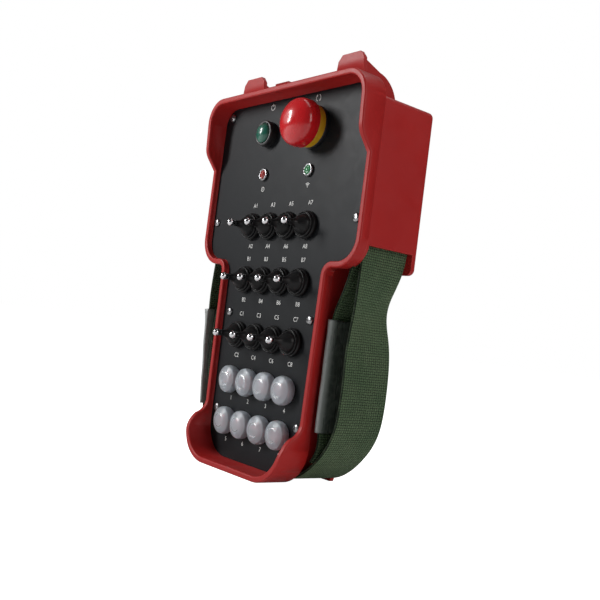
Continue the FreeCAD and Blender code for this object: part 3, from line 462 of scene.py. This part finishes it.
materials = {name: mouldedMaterial(name) for name in mouldedLooks}
materials.update({name: metalMaterial(name) for name in metalLooks})
materials.update({name: lensMaterial(name) for name in lensLooks})
materials.update(webbingGreen=webbingMaterial(), coverSilicone=siliconeMaterial(), sleeveVinyl=vinylMaterial(),
                 boardGreen=boardMaterial())
slotMaterials = {
    "red_housing": "redMoulding", "black_plate": "plateBlack", "black_rubber": "bootRubber",
    "screw_steel": "screwSteel", "clamp_steel": "clampSteel", "chrome": "leverChrome",
    "switch_plastic": "switchBlack", "plunger_red": "plungerRed", "clear_silicone": "coverSilicone",
    "stop_red": "stopRed", "stop_yellow": "stopYellow", "power_green": "capGreen", "lamp_red": "lampRed",
    "lamp_green": "lampGreen", "webbing": "webbingGreen", "sleeve_vinyl": "sleeveVinyl",
    "circuit_board": "boardGreen", "radio_shield": "shieldTin", "battery_wrap": "cellWrap", "brass": "plainBrass",
}
nodeSlots = {row["node"]: row["material_slot"] for row in frame["record"]["subparts"]}
for node, piece in frame["nodes"].items():
    piece.data.materials.clear()
    piece.data.materials.append(materials[slotMaterials[nodeSlots[node]]])
print("materials made")


# studio

studio = {
    "floor": 6.0,
    "lights": [  # place, target, width, height, watts
        ("keyLight", (-0.70, -0.92, 0.62), (0.0, 0.0, 0.15), 0.24, 0.60, 13.0),
        ("fillLight", (1.20, 0.10, 0.55), (0.0, 0.0, 0.14), 0.8, 0.8, 6.0),
        ("topLight", (0.10, 0.30, 1.3), (0.0, 0.0, 0.2), 0.9, 0.9, 5.0),
    ],
    "world": 0.07, "paper": 1.0,
}


def addStudio():
    bed = bmesh.new()
    bmesh.ops.create_grid(bed, x_segments=8, y_segments=8, size=studio["floor"])
    mesh = bpy.data.meshes.new("floorPlane")
    bed.to_mesh(mesh)
    bed.free()
    mesh.materials.append(floorMaterial())
    floor = bpy.data.objects.new("floorPlane", mesh)
    scene.collection.objects.link(floor)
    for name, place, target, width, height, watts in studio["lights"]:
        data = bpy.data.lights.new(name, "AREA")
        data.shape = "RECTANGLE"
        data.size = width
        data.size_y = height
        data.energy = watts
        light = bpy.data.objects.new(name, data)
        light.location = place
        light.rotation_euler = (Vector(target) - Vector(place)).to_track_quat("-Z", "Y").to_euler()
        scene.collection.objects.link(light)
    world = bpy.data.worlds.new("studioWorld")
    world.use_nodes = True
    tree = world.node_tree
    seen = put(tree, "ShaderNodeLightPath").outputs["Is Camera Ray"]
    level = spread(tree, seen, studio["world"], 1.0)
    backdrop = tree.nodes["Background"]
    backdrop.inputs["Color"].default_value = (1, 1, 1, 1)
    tree.links.new(level, backdrop.inputs["Strength"])
    scene.world = world
    scene.view_settings.view_transform = "Standard"


addStudio()
print("studio lit")


# mesh building

def finishPiece(name, shape, materialName, body, replaced=(), crease=38):
    mesh = bpy.data.meshes.new(name)
    shape.to_mesh(mesh)
    shape.free()
    mesh.materials.append(materials[materialName])
    mesh.shade_smooth()
    mesh.set_sharp_from_angle(angle=math.radians(crease))
    piece = bpy.data.objects.new(name, mesh)
    scene.collection.objects.link(piece)
    if body:
        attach(piece, body)
    if replaced:
        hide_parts(*replaced)
    return piece


def eased(corners, steps=4):
    # (radius, along, ease) in mm; ease rounds that corner
    line = []
    for index, (radius, along, ease) in enumerate(corners):
        here = Vector((radius, along))
        if not ease:
            line.append(here)
            continue
        before = Vector(corners[index - 1][:2])
        after = Vector(corners[(index + 1) % len(corners)][:2])
        first = here + (before - here).normalized() * ease
        last = here + (after - here).normalized() * ease
        for step in range(steps + 1):
            share = step / steps
            line.append(first * (1 - share) ** 2 + here * 2 * share * (1 - share) + last * share ** 2)
    return line


def lathe(profile, steps=48):
    # a closed profile, or one that starts and ends on the axis, turned round Y
    shape = bmesh.new()
    ring = [shape.verts.new((point.x * mm, point.y * mm, 0)) for point in profile]
    chain = [shape.edges.new(pair) for pair in zip(ring, ring[1:])]
    if profile[0].x > 0 or profile[-1].x > 0:
        chain.append(shape.edges.new((ring[-1], ring[0])))
    bmesh.ops.spin(shape, geom=ring + chain, cent=(0, 0, 0), axis=(0, 1, 0), dvec=(0, 0, 0),
                   angle=2 * math.pi, steps=steps, use_merge=True)
    bmesh.ops.remove_doubles(shape, verts=shape.verts, dist=1e-6)
    bmesh.ops.dissolve_degenerate(shape, edges=shape.edges, dist=1e-7)
    bmesh.ops.recalc_face_normals(shape, faces=shape.faces)
    return shape


def moved(shape, across, up):
    bmesh.ops.translate(shape, verts=shape.verts, vec=(across, 0, up))
    return shape


def carved(shape, cutter):
    # takes one mesh away from another, worked in millimetres
    objects = []
    for source in (shape, cutter):
        bmesh.ops.scale(source, verts=source.verts, vec=(1 / mm, 1 / mm, 1 / mm))
        mesh = bpy.data.meshes.new("blank")
        source.to_mesh(mesh)
        source.free()
        objects.append(bpy.data.objects.new("blank", mesh))
        scene.collection.objects.link(objects[-1])
    modifier = objects[0].modifiers.new("recess", "BOOLEAN")
    modifier.object = objects[1]
    modifier.operation = "DIFFERENCE"
    modifier.solver = "EXACT"
    modifier.use_self = True
    result = bmesh.new()
    result.from_object(objects[0], bpy.context.evaluated_depsgraph_get())
    bmesh.ops.scale(result, verts=result.verts, vec=(mm, mm, mm))
    for item in objects:
        mesh = item.data
        bpy.data.objects.remove(item)
        bpy.data.meshes.remove(mesh)
    return result


def refined(node, name, edge=0.0, crease=32):
    # a smooth-shaded copy of a CAD piece, with its sharp edges eased
    shape = bmesh.new()
    shape.from_mesh(frame["nodes"][node].data)
    bmesh.ops.remove_doubles(shape, verts=shape.verts, dist=2e-6)
    bmesh.ops.dissolve_limit(shape, angle_limit=math.radians(0.6), verts=shape.verts, edges=shape.edges)
    if edge:
        sharp = [side for side in shape.edges
                 if side.is_manifold and side.calc_face_angle(0) > math.radians(crease)]
        bmesh.ops.bevel(shape, geom=sharp, offset=edge, offset_type="OFFSET", segments=2, profile=0.5,
                        affect="EDGES", clamp_overlap=True, material=-1)
    bmesh.ops.triangulate(shape, faces=[face for face in shape.faces if len(face.verts) > 4])
    slotName = nodeSlots[node]
    body = frame["nodes"][node]["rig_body"]
    piece = finishPiece(name, shape, slotMaterials[slotName], body, [node], crease)
    weighted = piece.modifiers.new("normals", "WEIGHTED_NORMAL")
    weighted.keep_sharp = True
    return piece


refinedPieces = {  # CAD node: piece name, edge ease in mm
    "front_housing": ("frontShell", 0.0), "rear_housing": ("rearShell", 0.25),
    "faceplate": ("facePlate", 0.12), "battery_cover": ("batteryCover", 0.3),
    "strap_bars": ("strapBars", 0.0), "strap_clamp": ("strapClamp", 0.15),
    "battery_pack": ("batteryPack", 1.2), "control_board": ("controlBoard", 0.1),
    "radio_module": ("radioModule", 0.2), "estop_contact_block": ("stopContacts", 0.5),
    "power_switch_body": ("powerSwitchBody", 0.5), "toggle_bodies": ("toggleBodies", 0.25),
    "button_bodies": ("buttonBodies", 0.25),
}
for node, (name, edge) in refinedPieces.items():
    refined(node, name, edge * mm)
print("shells refined")


# controls

grid = {"pitch": 20.0, "toggleRows": {"A": 165.2, "B": 127.9, "C": 89.2}, "buttonRows": (58.0, 29.4)}
columns = [(column - 1.5) * grid["pitch"] * mm for column in range(4)]
toggles = [(f"{letter}{2 * column + 1}", columns[column], up * mm)
           for letter, up in grid["toggleRows"].items() for column in range(4)]
buttons = [(4 * line + column + 1, columns[column], up * mm)
           for line, up in enumerate(grid["buttonRows"]) for column in range(4)]

lever = {
    "profile": [(0, -12, 0), (1.5, -12, 0.2), (1.5, -26.8, 0), (1.4, -28.4, 0.2)],
    "ball": 2.6, "centre": -31.0, "join": 34.0,
}


def leverShape():
    line = eased(lever["profile"])
    for step in range(17):
        turn = math.radians(lever["join"] + (180 - lever["join"]) * step / 16)
        line.append(Vector((lever["ball"] * math.sin(turn), lever["centre"] + lever["ball"] * math.cos(turn))))
    line[-1].x = 0
    return lathe(line, 32)


boot = {  # rubber boot: flange, rolled ring, bell, nose
    "profile": [
        (6.4, -12.1, 0.2), (9.4, -12.1, 0.3), (9.4, -14.3, 0.7), (8.7, -14.9, 0.3), (8.55, -15.0, 0.1),
        (8.7, -16.2, 0.5), (8.1, -16.9, 0.35), (7.5, -16.2, 0.35), (7.2, -16.0, 0.3), (6.7, -17.9, 0.9),
        (4.7, -20.8, 1.5), (2.95, -22.7, 0.9), (2.15, -25.0, 0.8), (1.98, -27.4, 0.2), (2.2, -27.9, 0.2),
        (2.05, -28.5, 0.2), (1.62, -28.4, 0.1), (1.6, -24.8, 0.3), (2.4, -22.2, 0.5), (6.1, -18.2, 0.5),
    ],
    "still": -17.0, "free": -25.0,
}

for name, across, up in toggles:
    lower = name.lower()
    finishPiece(f"toggleLever{name}", moved(leverShape(), across, up), "leverChrome", f"lever_{lower}",
                [f"toggle_lever_{lower}"])
    sleeve = finishPiece(f"toggleBoot{name}", moved(lathe(eased(boot["profile"])), across, up), "bootRubber",
                         None, [f"toggle_boots_{lower[0]}"], 60)
    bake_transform(sleeve)
print("toggles made")

cover = {  # domed silicone cover over a push button
    "profile": [
        (7.4, -12.1, 0), (8.5, -12.1, 0.3), (9.1, -13.2, 0.5), (9.5, -15.2, 0.9), (9.3, -17.2, 0.7),
        (8.95, -18.15, 0.3), (8.5, -18.45, 0.2), (8.2, -18.5, 0.1), (6.0, -19.6, 1.8), (3.0, -20.45, 1.8),
        (0, -20.6, 0), (0, -19.5, 0), (5.4, -18.8, 1.8), (7.4, -17.6, 0.6), (8.2, -15.0, 1.0), (7.6, -13.0, 0.4),
    ],
    "still": -14.5, "free": -18.2,
}
plunger = {
    "profile": [(0, -7.5, 0), (4.75, -7.5, 0.2), (4.75, -16.6, 0), (4.5, -17.1, 0.3), (3.9, -17.3, 0.2), (0, -17.0, 0)],
}
for number, across, up in buttons:
    finishPiece(f"buttonPlunger{number}", moved(lathe(eased(plunger["profile"]), 40), across, up), "plungerRed",
                f"plunger_{number}", [f"button_plunger_{number}"])
    dome = finishPiece(f"buttonCover{number}", moved(lathe(eased(cover["profile"], 6), 56), across, up), "coverSilicone",
                       None, ["button_covers_upper" if number < 5 else "button_covers_lower"], 60)
    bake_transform(dome)
print("push buttons made")

upperRow = {"across": 24.5, "up": 230.0, "lampUp": 201.7}
stopSpot = (upperRow["across"] * mm, upperRow["up"] * mm)
powerSpot = (-upperRow["across"] * mm, upperRow["up"] * mm)
lampSpots = {"Green": (upperRow["across"] * mm, upperRow["lampUp"] * mm),
             "Red": (-upperRow["across"] * mm, upperRow["lampUp"] * mm)}

# name, material, body, slot, node, profile
turnedControls = {
    "stopMushroom": ("stopRed", "estop_head", "stop_red", "estop_mushroom", stopSpot, [
        (0, -31.5, 0), (5.05, -31.5, 0), (5.05, -26, 0), (14.5, -26, 0.8), (14.6, -20.5, 0.3), (15.7, -20.5, 0.5),
        (15.75, -24.5, 1.5), (15.4, -28.2, 2.0), (13.2, -31.0, 1.3), (9.6, -33.8, 2.5), (4.8, -35.9, 2.5), (0, -36.0, 0),
    ]),
    "stopStem": ("switchBlack", "estop_stem", "switch_plastic", "estop_stem", stopSpot, [
        (0, -6, 0), (7.92, -6, 0.3), (7.92, -25.7, 0.4), (5, -25.7, 0.2), (5, -31.2, 0.3), (0, -31.2, 0),
    ]),
    "stopYellowRing": ("stopYellow", "case", "stop_yellow", "estop_yellow_ring", stopSpot, [
        (8, -14.65, 0), (8, -19.8, 0.4), (13.4, -19.8, 0.6), (14.1, -19.0, 0.4), (14.1, -14.65, 0.3),
    ]),
    "stopBezel": ("switchBlack", "case", "switch_plastic", "estop_bezel", stopSpot, [
        (8, -2, 0), (8, -14.6, 0.2), (13.6, -14.6, 0.4), (14.1, -14.0, 0.3), (14.1, -12.05, 0.1), (11, -12.05, 0), (11, -2, 0.3),
    ]),
    "powerBezel": ("switchBlack", "case", "switch_plastic", "power_button_bezel", powerSpot, [
        (6.85, -6, 0), (6.85, -17.4, 0.2), (7.3, -18, 0.3), (8.4, -18, 0.5), (9, -17.1, 0.5), (9, -12.05, 0.2), (8, -12.05, 0), (8, -6, 0.3),
    ]),
    "powerCap": ("capGreen", "power_cap", "power_green", "power_button_cap", powerSpot, [
        (0, -9.5, 0), (6.8, -9.5, 0.2), (6.8, -18.6, 0.9), (5.1, -20.2, 1.2), (2.5, -21.3, 1.2), (0, -21.4, 0),
    ]),
}
for name, (materialName, body, slotName, node, spot, profile) in turnedControls.items():
    finishPiece(name, moved(lathe(eased(profile, 6), 72), *spot), materialName, body, [node], 50)

lamp = {
    "bezel": [(3.05, -5, 0), (3.05, -13.7, 0.15), (3.5, -14, 0.2), (4.1, -13.9, 0.3), (4.4, -13.2, 0.3),
              (4.4, -12.05, 0.1), (3.6, -12.05, 0), (3.6, -5, 0.2)],
    "lens": [(0, -6, 0), (3.0, -6, 0.2), (3.0, -13.9, 0.5), (2.0, -14.6, 0.5)],
    "facets": 4, "ridge": 0.35, "tip": -15.0,
}


def lensShape():
    # a turned body whose front is raised along two crossed ridges
    line = eased(lamp["lens"]) + [Vector((1.0, lamp["tip"] + 0.1)), Vector((0, lamp["tip"]))]
    shape = lathe(line, 48)
    for corner in shape.verts:
        reach = math.hypot(corner.co.x, corner.co.z)
        if corner.co.y < -14.2 * mm and reach > 0.2 * mm:
            turn = math.atan2(corner.co.z, corner.co.x)
            corner.co.y += lamp["ridge"] * mm * abs(math.sin(turn * lamp["facets"] / 2)) * min(reach / (2 * mm), 1)
    return shape

for tone, spot in lampSpots.items():
    finishPiece(f"lampLens{tone}", moved(lensShape(), *spot), f"lamp{tone}", "case",
                [f"lamp_lens_{tone.lower()}"], 20)
    finishPiece(f"lampBezel{tone}", moved(lathe(eased(lamp["bezel"]), 40), *spot), "screwSteel", "case",
                ["lamp_bezels"], 50)
print("stop, power and lamps made")


# fasteners

screwKinds = {  # profile of the head and shank, then the cross recess: width, reach, floor
    "pan": {"profile": [(0, -4.5, 0), (1.5, -4.5, 0.3), (1.5, -12.02, 0), (2.9, -12.02, 0.15), (2.9, -12.9, 0.5),
                        (2.1, -13.6, 0.5), (0, -13.9, 0)],
            "cross": (0.6, 2.9, -13.0), "front": -15.0},
    "deep": {"profile": [(0, -6.8, 0), (2, -6.8, 0.3), (2, 31.35, 0), (3.4, 31.35, 0.2), (3.4, 33.6, 0.6),
                         (2.4, 34.4, 0.4), (0, 34.4, 0)],
             "cross": (0.9, 4.2, 32.9), "front": 36.0},
    "cover": {"profile": [(0, 29, 0), (1.25, 29, 0.3), (1.25, 34.7, 0), (2.2, 34.7, 0.1), (2.2, 35.4, 0.4),
                          (1.4, 35.8, 0.3), (0, 35.8, 0)],
              "cross": (0.6, 2.6, 35.1), "front": 37.0},
    "board": {"profile": [(0, 22, 0), (1.4, 22, 0.2), (1.4, 13.95, 0), (2.6, 13.95, 0.1), (2.6, 12.9, 0.5),
                          (1.4, 12.4, 0.4), (0, 12.4, 0)],
              "cross": (0.7, 3.0, 13.2), "front": 11.0},
}


def screwShape(kind, turn):
    facts = screwKinds[kind]
    wide, reach, floor = facts["cross"]
    head = lathe(eased(facts["profile"]), 32)
    tool = bmesh.new()
    for swing in (0, 90):
        place = Matrix.Translation((0, (facts["front"] + floor) / 2 * mm, 0))
        stretch = Matrix.Diagonal((reach * mm, abs(facts["front"] - floor) * mm, wide * mm, 1))
        spinTurn = Matrix.Rotation(math.radians(turn + swing), 4, "Y")
        bmesh.ops.create_cube(tool, size=1.0, matrix=spinTurn @ place @ stretch)
    return carved(head, tool)


def mirrored(spots):
    return [(side * across * mm, up * mm) for across, up in spots for side in (1, -1)]


fastenerSets = {  # piece: kind, spots, CAD node
    "plateScrews": ("pan", mirrored([(75.7, 169.0), (44.6, 104.5), (44.8, 36.4), (72.5, 247.6)]), "faceplate_screws"),
    "caseScrews": ("deep", mirrored([(75.5, 236.0), (56.0, 147.0), (43.0, 24.0)]), "housing_screws"),
    "coverScrews": ("cover", mirrored([(34.6, 34.0), (34.6, 98.0)]), "battery_cover_screws"),
    "boardScrews": ("board", mirrored([(34.0, 19.0), (34.0, 179.0)]), "board_screws"),
}
for name, (kind, spots, node) in fastenerSets.items():
    whole = bmesh.new()
    for count, spot in enumerate(spots):
        screw = moved(screwShape(kind, 17 + 37 * count), *spot)
        mesh = bpy.data.meshes.new("oneScrew")
        screw.to_mesh(mesh)
        screw.free()
        whole.from_mesh(mesh)
        bpy.data.meshes.remove(mesh)
    finishPiece(name, whole, "screwSteel", "case", [node], 40)
print("fasteners made")


# printing on the face plate

printing = {
    "tall": 3.0, "level": -12.0, "thick": 0.03,
    "rows": {"A": (180.0, 151.4), "B": (142.5, 113.7), "C": (103.9, 75.0)}, "numbers": (45.1, 16.5),
}


def printedText(whole, words, across, up, tall):
    curve = bpy.data.curves.new("print", "FONT")
    curve.body = words
    curve.size = tall * 1.38 * mm
    curve.align_x = "CENTER"
    curve.align_y = "CENTER"
    curve.resolution_u = 3
    curve.extrude = printing["thick"] / 2 * mm
    source = bpy.data.objects.new("print", curve)
    scene.collection.objects.link(source)
    mesh = bpy.data.meshes.new_from_object(source.evaluated_get(bpy.context.evaluated_depsgraph_get()))
    stand = Matrix.Rotation(math.pi / 2, 4, "X")
    front = (printing["level"] - printing["thick"]) * mm
    mesh.transform(Matrix.Translation((across * mm, front, up * mm)) @ stand)
    whole.from_mesh(mesh)
    bpy.data.objects.remove(source)
    bpy.data.curves.remove(curve)
    bpy.data.meshes.remove(mesh)


def printedArc(whole, across, up, radius, wide, start, sweep):
    # a flat stroke that bends round a centre, angles in degrees from the top
    shape = bmesh.new()
    turn = Matrix.Rotation(math.radians(start), 4, "Y")
    ends = [shape.verts.new(turn @ Vector((0, 0, (radius + side * wide / 2) * mm))) for side in (-1, 1)]
    edge = shape.edges.new(ends)
    bmesh.ops.spin(shape, geom=ends + [edge], cent=(0, 0, 0), axis=(0, 1, 0), angle=math.radians(sweep),
                   dvec=(0, 0, 0), steps=max(3, int(abs(sweep) / 9)), use_merge=abs(sweep) > 359)
    addPrint(whole, shape, across, up)


def printedBar(whole, across, up, wide, tall):
    shape = bmesh.new()
    bmesh.ops.create_grid(shape, x_segments=1, y_segments=1, size=0.5)
    bmesh.ops.scale(shape, verts=shape.verts, vec=(wide * mm, tall * mm, 1))
    bmesh.ops.rotate(shape, verts=shape.verts, cent=(0, 0, 0), matrix=Matrix.Rotation(math.pi / 2, 3, "X"))
    addPrint(whole, shape, across, up)


def printedTip(whole, across, up, turn, reach):
    # an arrow head that points the way turn says, in degrees from the top
    shape = bmesh.new()
    bmesh.ops.create_circle(shape, cap_ends=True, segments=3, radius=reach * mm)
    bmesh.ops.rotate(shape, verts=shape.verts, cent=(0, 0, 0), matrix=Matrix.Rotation(math.pi / 2, 3, "X"))
    bmesh.ops.rotate(shape, verts=shape.verts, cent=(0, 0, 0), matrix=Matrix.Rotation(math.radians(turn), 3, "Y"))
    addPrint(whole, shape, across, up)


def addPrint(whole, shape, across, up):
    bmesh.ops.remove_doubles(shape, verts=shape.verts, dist=1e-7)
    flat = list(shape.faces)
    for face in flat:
        face.normal_update()
        if face.normal.y > 0:
            face.normal_flip()
    rise = bmesh.ops.extrude_face_region(shape, geom=flat)
    fresh = [item for item in rise["geom"] if isinstance(item, bmesh.types.BMVert)]
    bmesh.ops.translate(shape, verts=fresh, vec=(0, -printing["thick"] * mm, 0))
    bmesh.ops.recalc_face_normals(shape, faces=shape.faces)
    bmesh.ops.translate(shape, verts=shape.verts, vec=(across * mm, printing["level"] * mm, up * mm))
    mesh = bpy.data.meshes.new("mark")
    shape.to_mesh(mesh)
    shape.free()
    whole.from_mesh(mesh)
    bpy.data.meshes.remove(mesh)


def addPrinting():
    whole = bmesh.new()
    for letter, levels in printing["rows"].items():
        for column, across in enumerate(columns):
            for part, up in enumerate(levels):
                printedText(whole, f"{letter}{2 * column + 1 + part}", across / mm, up, printing["tall"])
    for line, up in enumerate(printing["numbers"]):
        for column, across in enumerate(columns):
            printedText(whole, str(4 * line + column + 1), across / mm, up, printing["tall"])
    side = upperRow["across"]
    printedArc(whole, -side, 249.6, 2.0, 0.45, 35, 290)  # power mark: a broken ring and a bar
    printedBar(whole, -side, 251.2, 0.45, 2.2)
    for start in (20, 200):  # twist mark: two arrows round a ring
        printedArc(whole, side, 249.6, 2.2, 0.45, start, 110)
        turn = math.radians(start + 118)
        printedTip(whole, side + 2.2 * math.sin(turn), 249.6 + 2.2 * math.cos(turn), start + 118 + 90, 0.85)
    printedArc(whole, -side, 191.6, 1.5, 0.4, 0, 360)  # mains mark: a ring round a bar
    printedBar(whole, -side, 191.6, 0.4, 1.7)
    for ring in range(3):  # radio mark: arcs over a dot
        printedArc(whole, side, 190.5, 0.9 + 0.9 * ring, 0.38, -45, 90)
    printedArc(whole, side, 190.5, 0.15, 0.3, 0, 360)
    finishPiece("platePrinting", whole, "printWhite", "case")


addPrinting()
print("plate printed")


# hand loops

web = {"wide": 38.0, "thick": 1.7, "front": -7.0, "columns": 28, "twist": 10.4, "twistAt": 116.0, "twistSpan": 14.0}
loops = {
    "right": {
        "side": 1,
        "outer": [(5, 2.6), (20, 2.6), (32, 2.9), (43, 5.6), (52.5, 11.3), (61.5, 19.5), (69.5, 29.5), (74.3, 41),
                  (75.9, 56), (75.8, 76), (74.6, 94), (72.4, 109), (73, 121), (76.2, 133), (78.5, 144)],
        "over": [(79.2, 160), (71.8, 160)],
        "inner": [(71.8, 147), (69.4, 133), (64.8, 121), (60.6, 112.5), (59.5, 105.5), (59.5, 88), (59.5, 71),
                  (59.5, 54), (59.5, 38), (60.2, 29), (59, 22.8), (55, 17.4)],
        "twist": 1.0,
    },
    "left": {
        "side": -1,
        "outer": [(-5, 2.6), (-20, 2.6), (-32, 2.9), (-43, 5.6), (-52.5, 11.3), (-61.5, 19), (-68, 25.8),
                  (-71.68, 33), (-74.1, 53.5), (-76.05, 70), (-78, 86.5), (-80.42, 107), (-80.8, 118), (-80, 131),
                  (-79, 145)],
        "over": [(-79.2, 160), (-71.8, 160)],
        "inner": [(-71.6, 147), (-68.7, 136), (-67.3, 126), (-68, 114), (-70, 102), (-71.6, 89), (-71.8, 77),
                  (-70.8, 64), (-68.8, 50), (-66.4, 38), (-63, 29.5), (-59.4, 22.9), (-55, 17.4)],
        "twist": 0.0,
    },
}


def smoothLine(points):
    # the points of one smooth open curve that these control points pull
    curve = bpy.data.curves.new("line", "CURVE")
    curve.dimensions = "3D"
    spline = curve.splines.new("NURBS")
    spline.points.add(len(points) - 1)
    for knot, (across, up) in zip(spline.points, points):
        knot.co = (across * mm, 0, up * mm, 1)
    spline.order_u = 3
    spline.use_endpoint_u = True
    spline.resolution_u = 12
    source = bpy.data.objects.new("line", curve)
    scene.collection.objects.link(source)
    mesh = bpy.data.meshes.new_from_object(source.evaluated_get(bpy.context.evaluated_depsgraph_get()))
    line = [corner.co.copy() for corner in mesh.vertices]
    bpy.data.objects.remove(source)
    bpy.data.curves.remove(curve)
    bpy.data.meshes.remove(mesh)
    return line


def strapPiece(name, loop):
    line = smoothLine(loop["outer"] + loop["over"] + loop["inner"])
    shape = bmesh.new()
    along = shape.verts.layers.float.new("along")
    strip = shape.loops.layers.uv.new("strip")
    length = 0.0
    chain = []
    last = line[0]
    for point in line:
        length += (point - last).length
        last = point
        corner = shape.verts.new((point.x, web["front"] * mm, point.z))
        corner[along] = length
        chain.append(corner)
    edges = [shape.edges.new(pair) for pair in zip(chain, chain[1:])]
    for _ in range(web["columns"]):
        made = bmesh.ops.extrude_edge_only(shape, edges=edges)["geom"]
        edges = [item for item in made if isinstance(item, bmesh.types.BMEdge)]
        fresh = [item for item in made if isinstance(item, bmesh.types.BMVert)]
        bmesh.ops.translate(shape, verts=fresh, vec=(0, web["wide"] / web["columns"] * mm, 0))
    bmesh.ops.recalc_face_normals(shape, faces=shape.faces)
    for face in shape.faces:
        for corner in face.loops:
            corner[strip].uv = (corner.vert[along], corner.vert.co.y - web["front"] * mm)
    split = max(shape.verts, key=lambda corner: corner.co.z)[along]  # where the outer run ends
    for corner in shape.verts:
        up = corner.co.z / mm
        part = (corner.co.y / mm - web["front"]) / web["wide"] - 0.5
        if corner[along] < split:
            swell = math.exp(-((up - web["twistAt"]) / web["twistSpan"]) ** 2 / 2)
            corner.co.x -= loop["side"] * loop["twist"] * web["twist"] * part * swell * mm
        ripple = noise.noise(Vector((corner[along] * 22, part * 0.8, loop["side"] * 3.0)))
        free = min(1.0, max(0.0, (up - 12) / 20)) * min(1.0, max(0.0, (146 - up) / 20))
        corner.co.x += loop["side"] * ripple * 0.5 * free * mm
    piece = finishPiece(name, shape, "webbingGreen", "case", [name.replace("Strap", "_strap")], 70)
    wall = piece.modifiers.new("cloth", "SOLIDIFY")
    wall.thickness = web["thick"] * mm
    wall.offset = 0
    wall.use_even_offset = True
    rim = piece.modifiers.new("selvage", "BEVEL")
    rim.width = 0.5 * mm
    rim.segments = 2
    rim.limit_method = "ANGLE"
    rim.angle_limit = math.radians(60)
    return piece


for side, loop in loops.items():
    strapPiece(f"{side}Strap", loop)
print("webbing made")

sleeves = {
    "right": {"spot": (59.5, 71.5), "tilt": 0.0, "crease": 0.25, "flare": 0.3, "seed": 4.0},
    "left": {"spot": (-76.05, 70.0), "tilt": -6.74, "crease": 0.75, "flare": 1.2, "seed": 9.0},
}
sleeveForm = {"thick": 4.5, "wide": 43.0, "tall": 70.0, "wall": 0.55, "rings": 40, "middle": 12.0}


def sleevePiece(side, facts):
    shape = bmesh.new()
    bmesh.ops.create_circle(shape, cap_ends=False, segments=72, radius=1.0)
    for corner in shape.verts:
        across, deep = corner.co.x, corner.co.y
        corner.co.x = math.copysign(abs(across) ** 0.45, across) * sleeveForm["thick"] / 2 * mm
        corner.co.y = math.copysign(abs(deep) ** 0.9, deep) * sleeveForm["wide"] / 2 * mm
        corner.co.z = -sleeveForm["tall"] / 2 * mm
    edges = list(shape.edges)
    for _ in range(sleeveForm["rings"]):
        made = bmesh.ops.extrude_edge_only(shape, edges=edges)["geom"]
        edges = [item for item in made if isinstance(item, bmesh.types.BMEdge)]
        fresh = [item for item in made if isinstance(item, bmesh.types.BMVert)]
        bmesh.ops.translate(shape, verts=fresh, vec=(0, 0, sleeveForm["tall"] / sleeveForm["rings"] * mm))
    bmesh.ops.recalc_face_normals(shape, faces=shape.faces)
    for corner in shape.verts:
        share = corner.co.z / (sleeveForm["tall"] / 2 * mm)
        away = 1 if corner.co.x > 0 else -1
        fold = noise.noise(Vector((corner.co.y * 130, corner.co.z * 22, facts["seed"] + away)))
        fold += 0.5 * noise.noise(Vector((corner.co.y * 300, corner.co.z * 45, facts["seed"] - away)))
        edgeFade = 1 - min(1.0, abs(corner.co.y) / (sleeveForm["wide"] / 2 * mm)) ** 4
        corner.co.x += away * (max(fold, -0.4) * facts["crease"] * edgeFade + facts["flare"] * max(0.0, share) ** 6) * mm
        corner.co.y += noise.noise(Vector((corner.co.z * 60, 0.3, facts["seed"]))) * 0.4 * mm
        corner.co.z += 0.5 * noise.noise(Vector((corner.co.y * 60, 0.7, facts["seed"]))) * share * mm
    bmesh.ops.rotate(shape, verts=shape.verts, cent=(0, 0, 0),
                     matrix=Matrix.Rotation(math.radians(facts["tilt"]), 3, "Y"))
    across, up = facts["spot"]
    bmesh.ops.translate(shape, verts=shape.verts, vec=(across * mm, sleeveForm["middle"] * mm, up * mm))
    piece = finishPiece(f"{side}Sleeve", shape, "sleeveVinyl", "case", [f"{side}_strap_sleeve"], 60)
    wall = piece.modifiers.new("vinyl", "SOLIDIFY")
    wall.thickness = sleeveForm["wall"] * mm
    wall.offset = -1
    return piece


for side, facts in sleeves.items():
    sleevePiece(side, facts)
print("sleeves made")
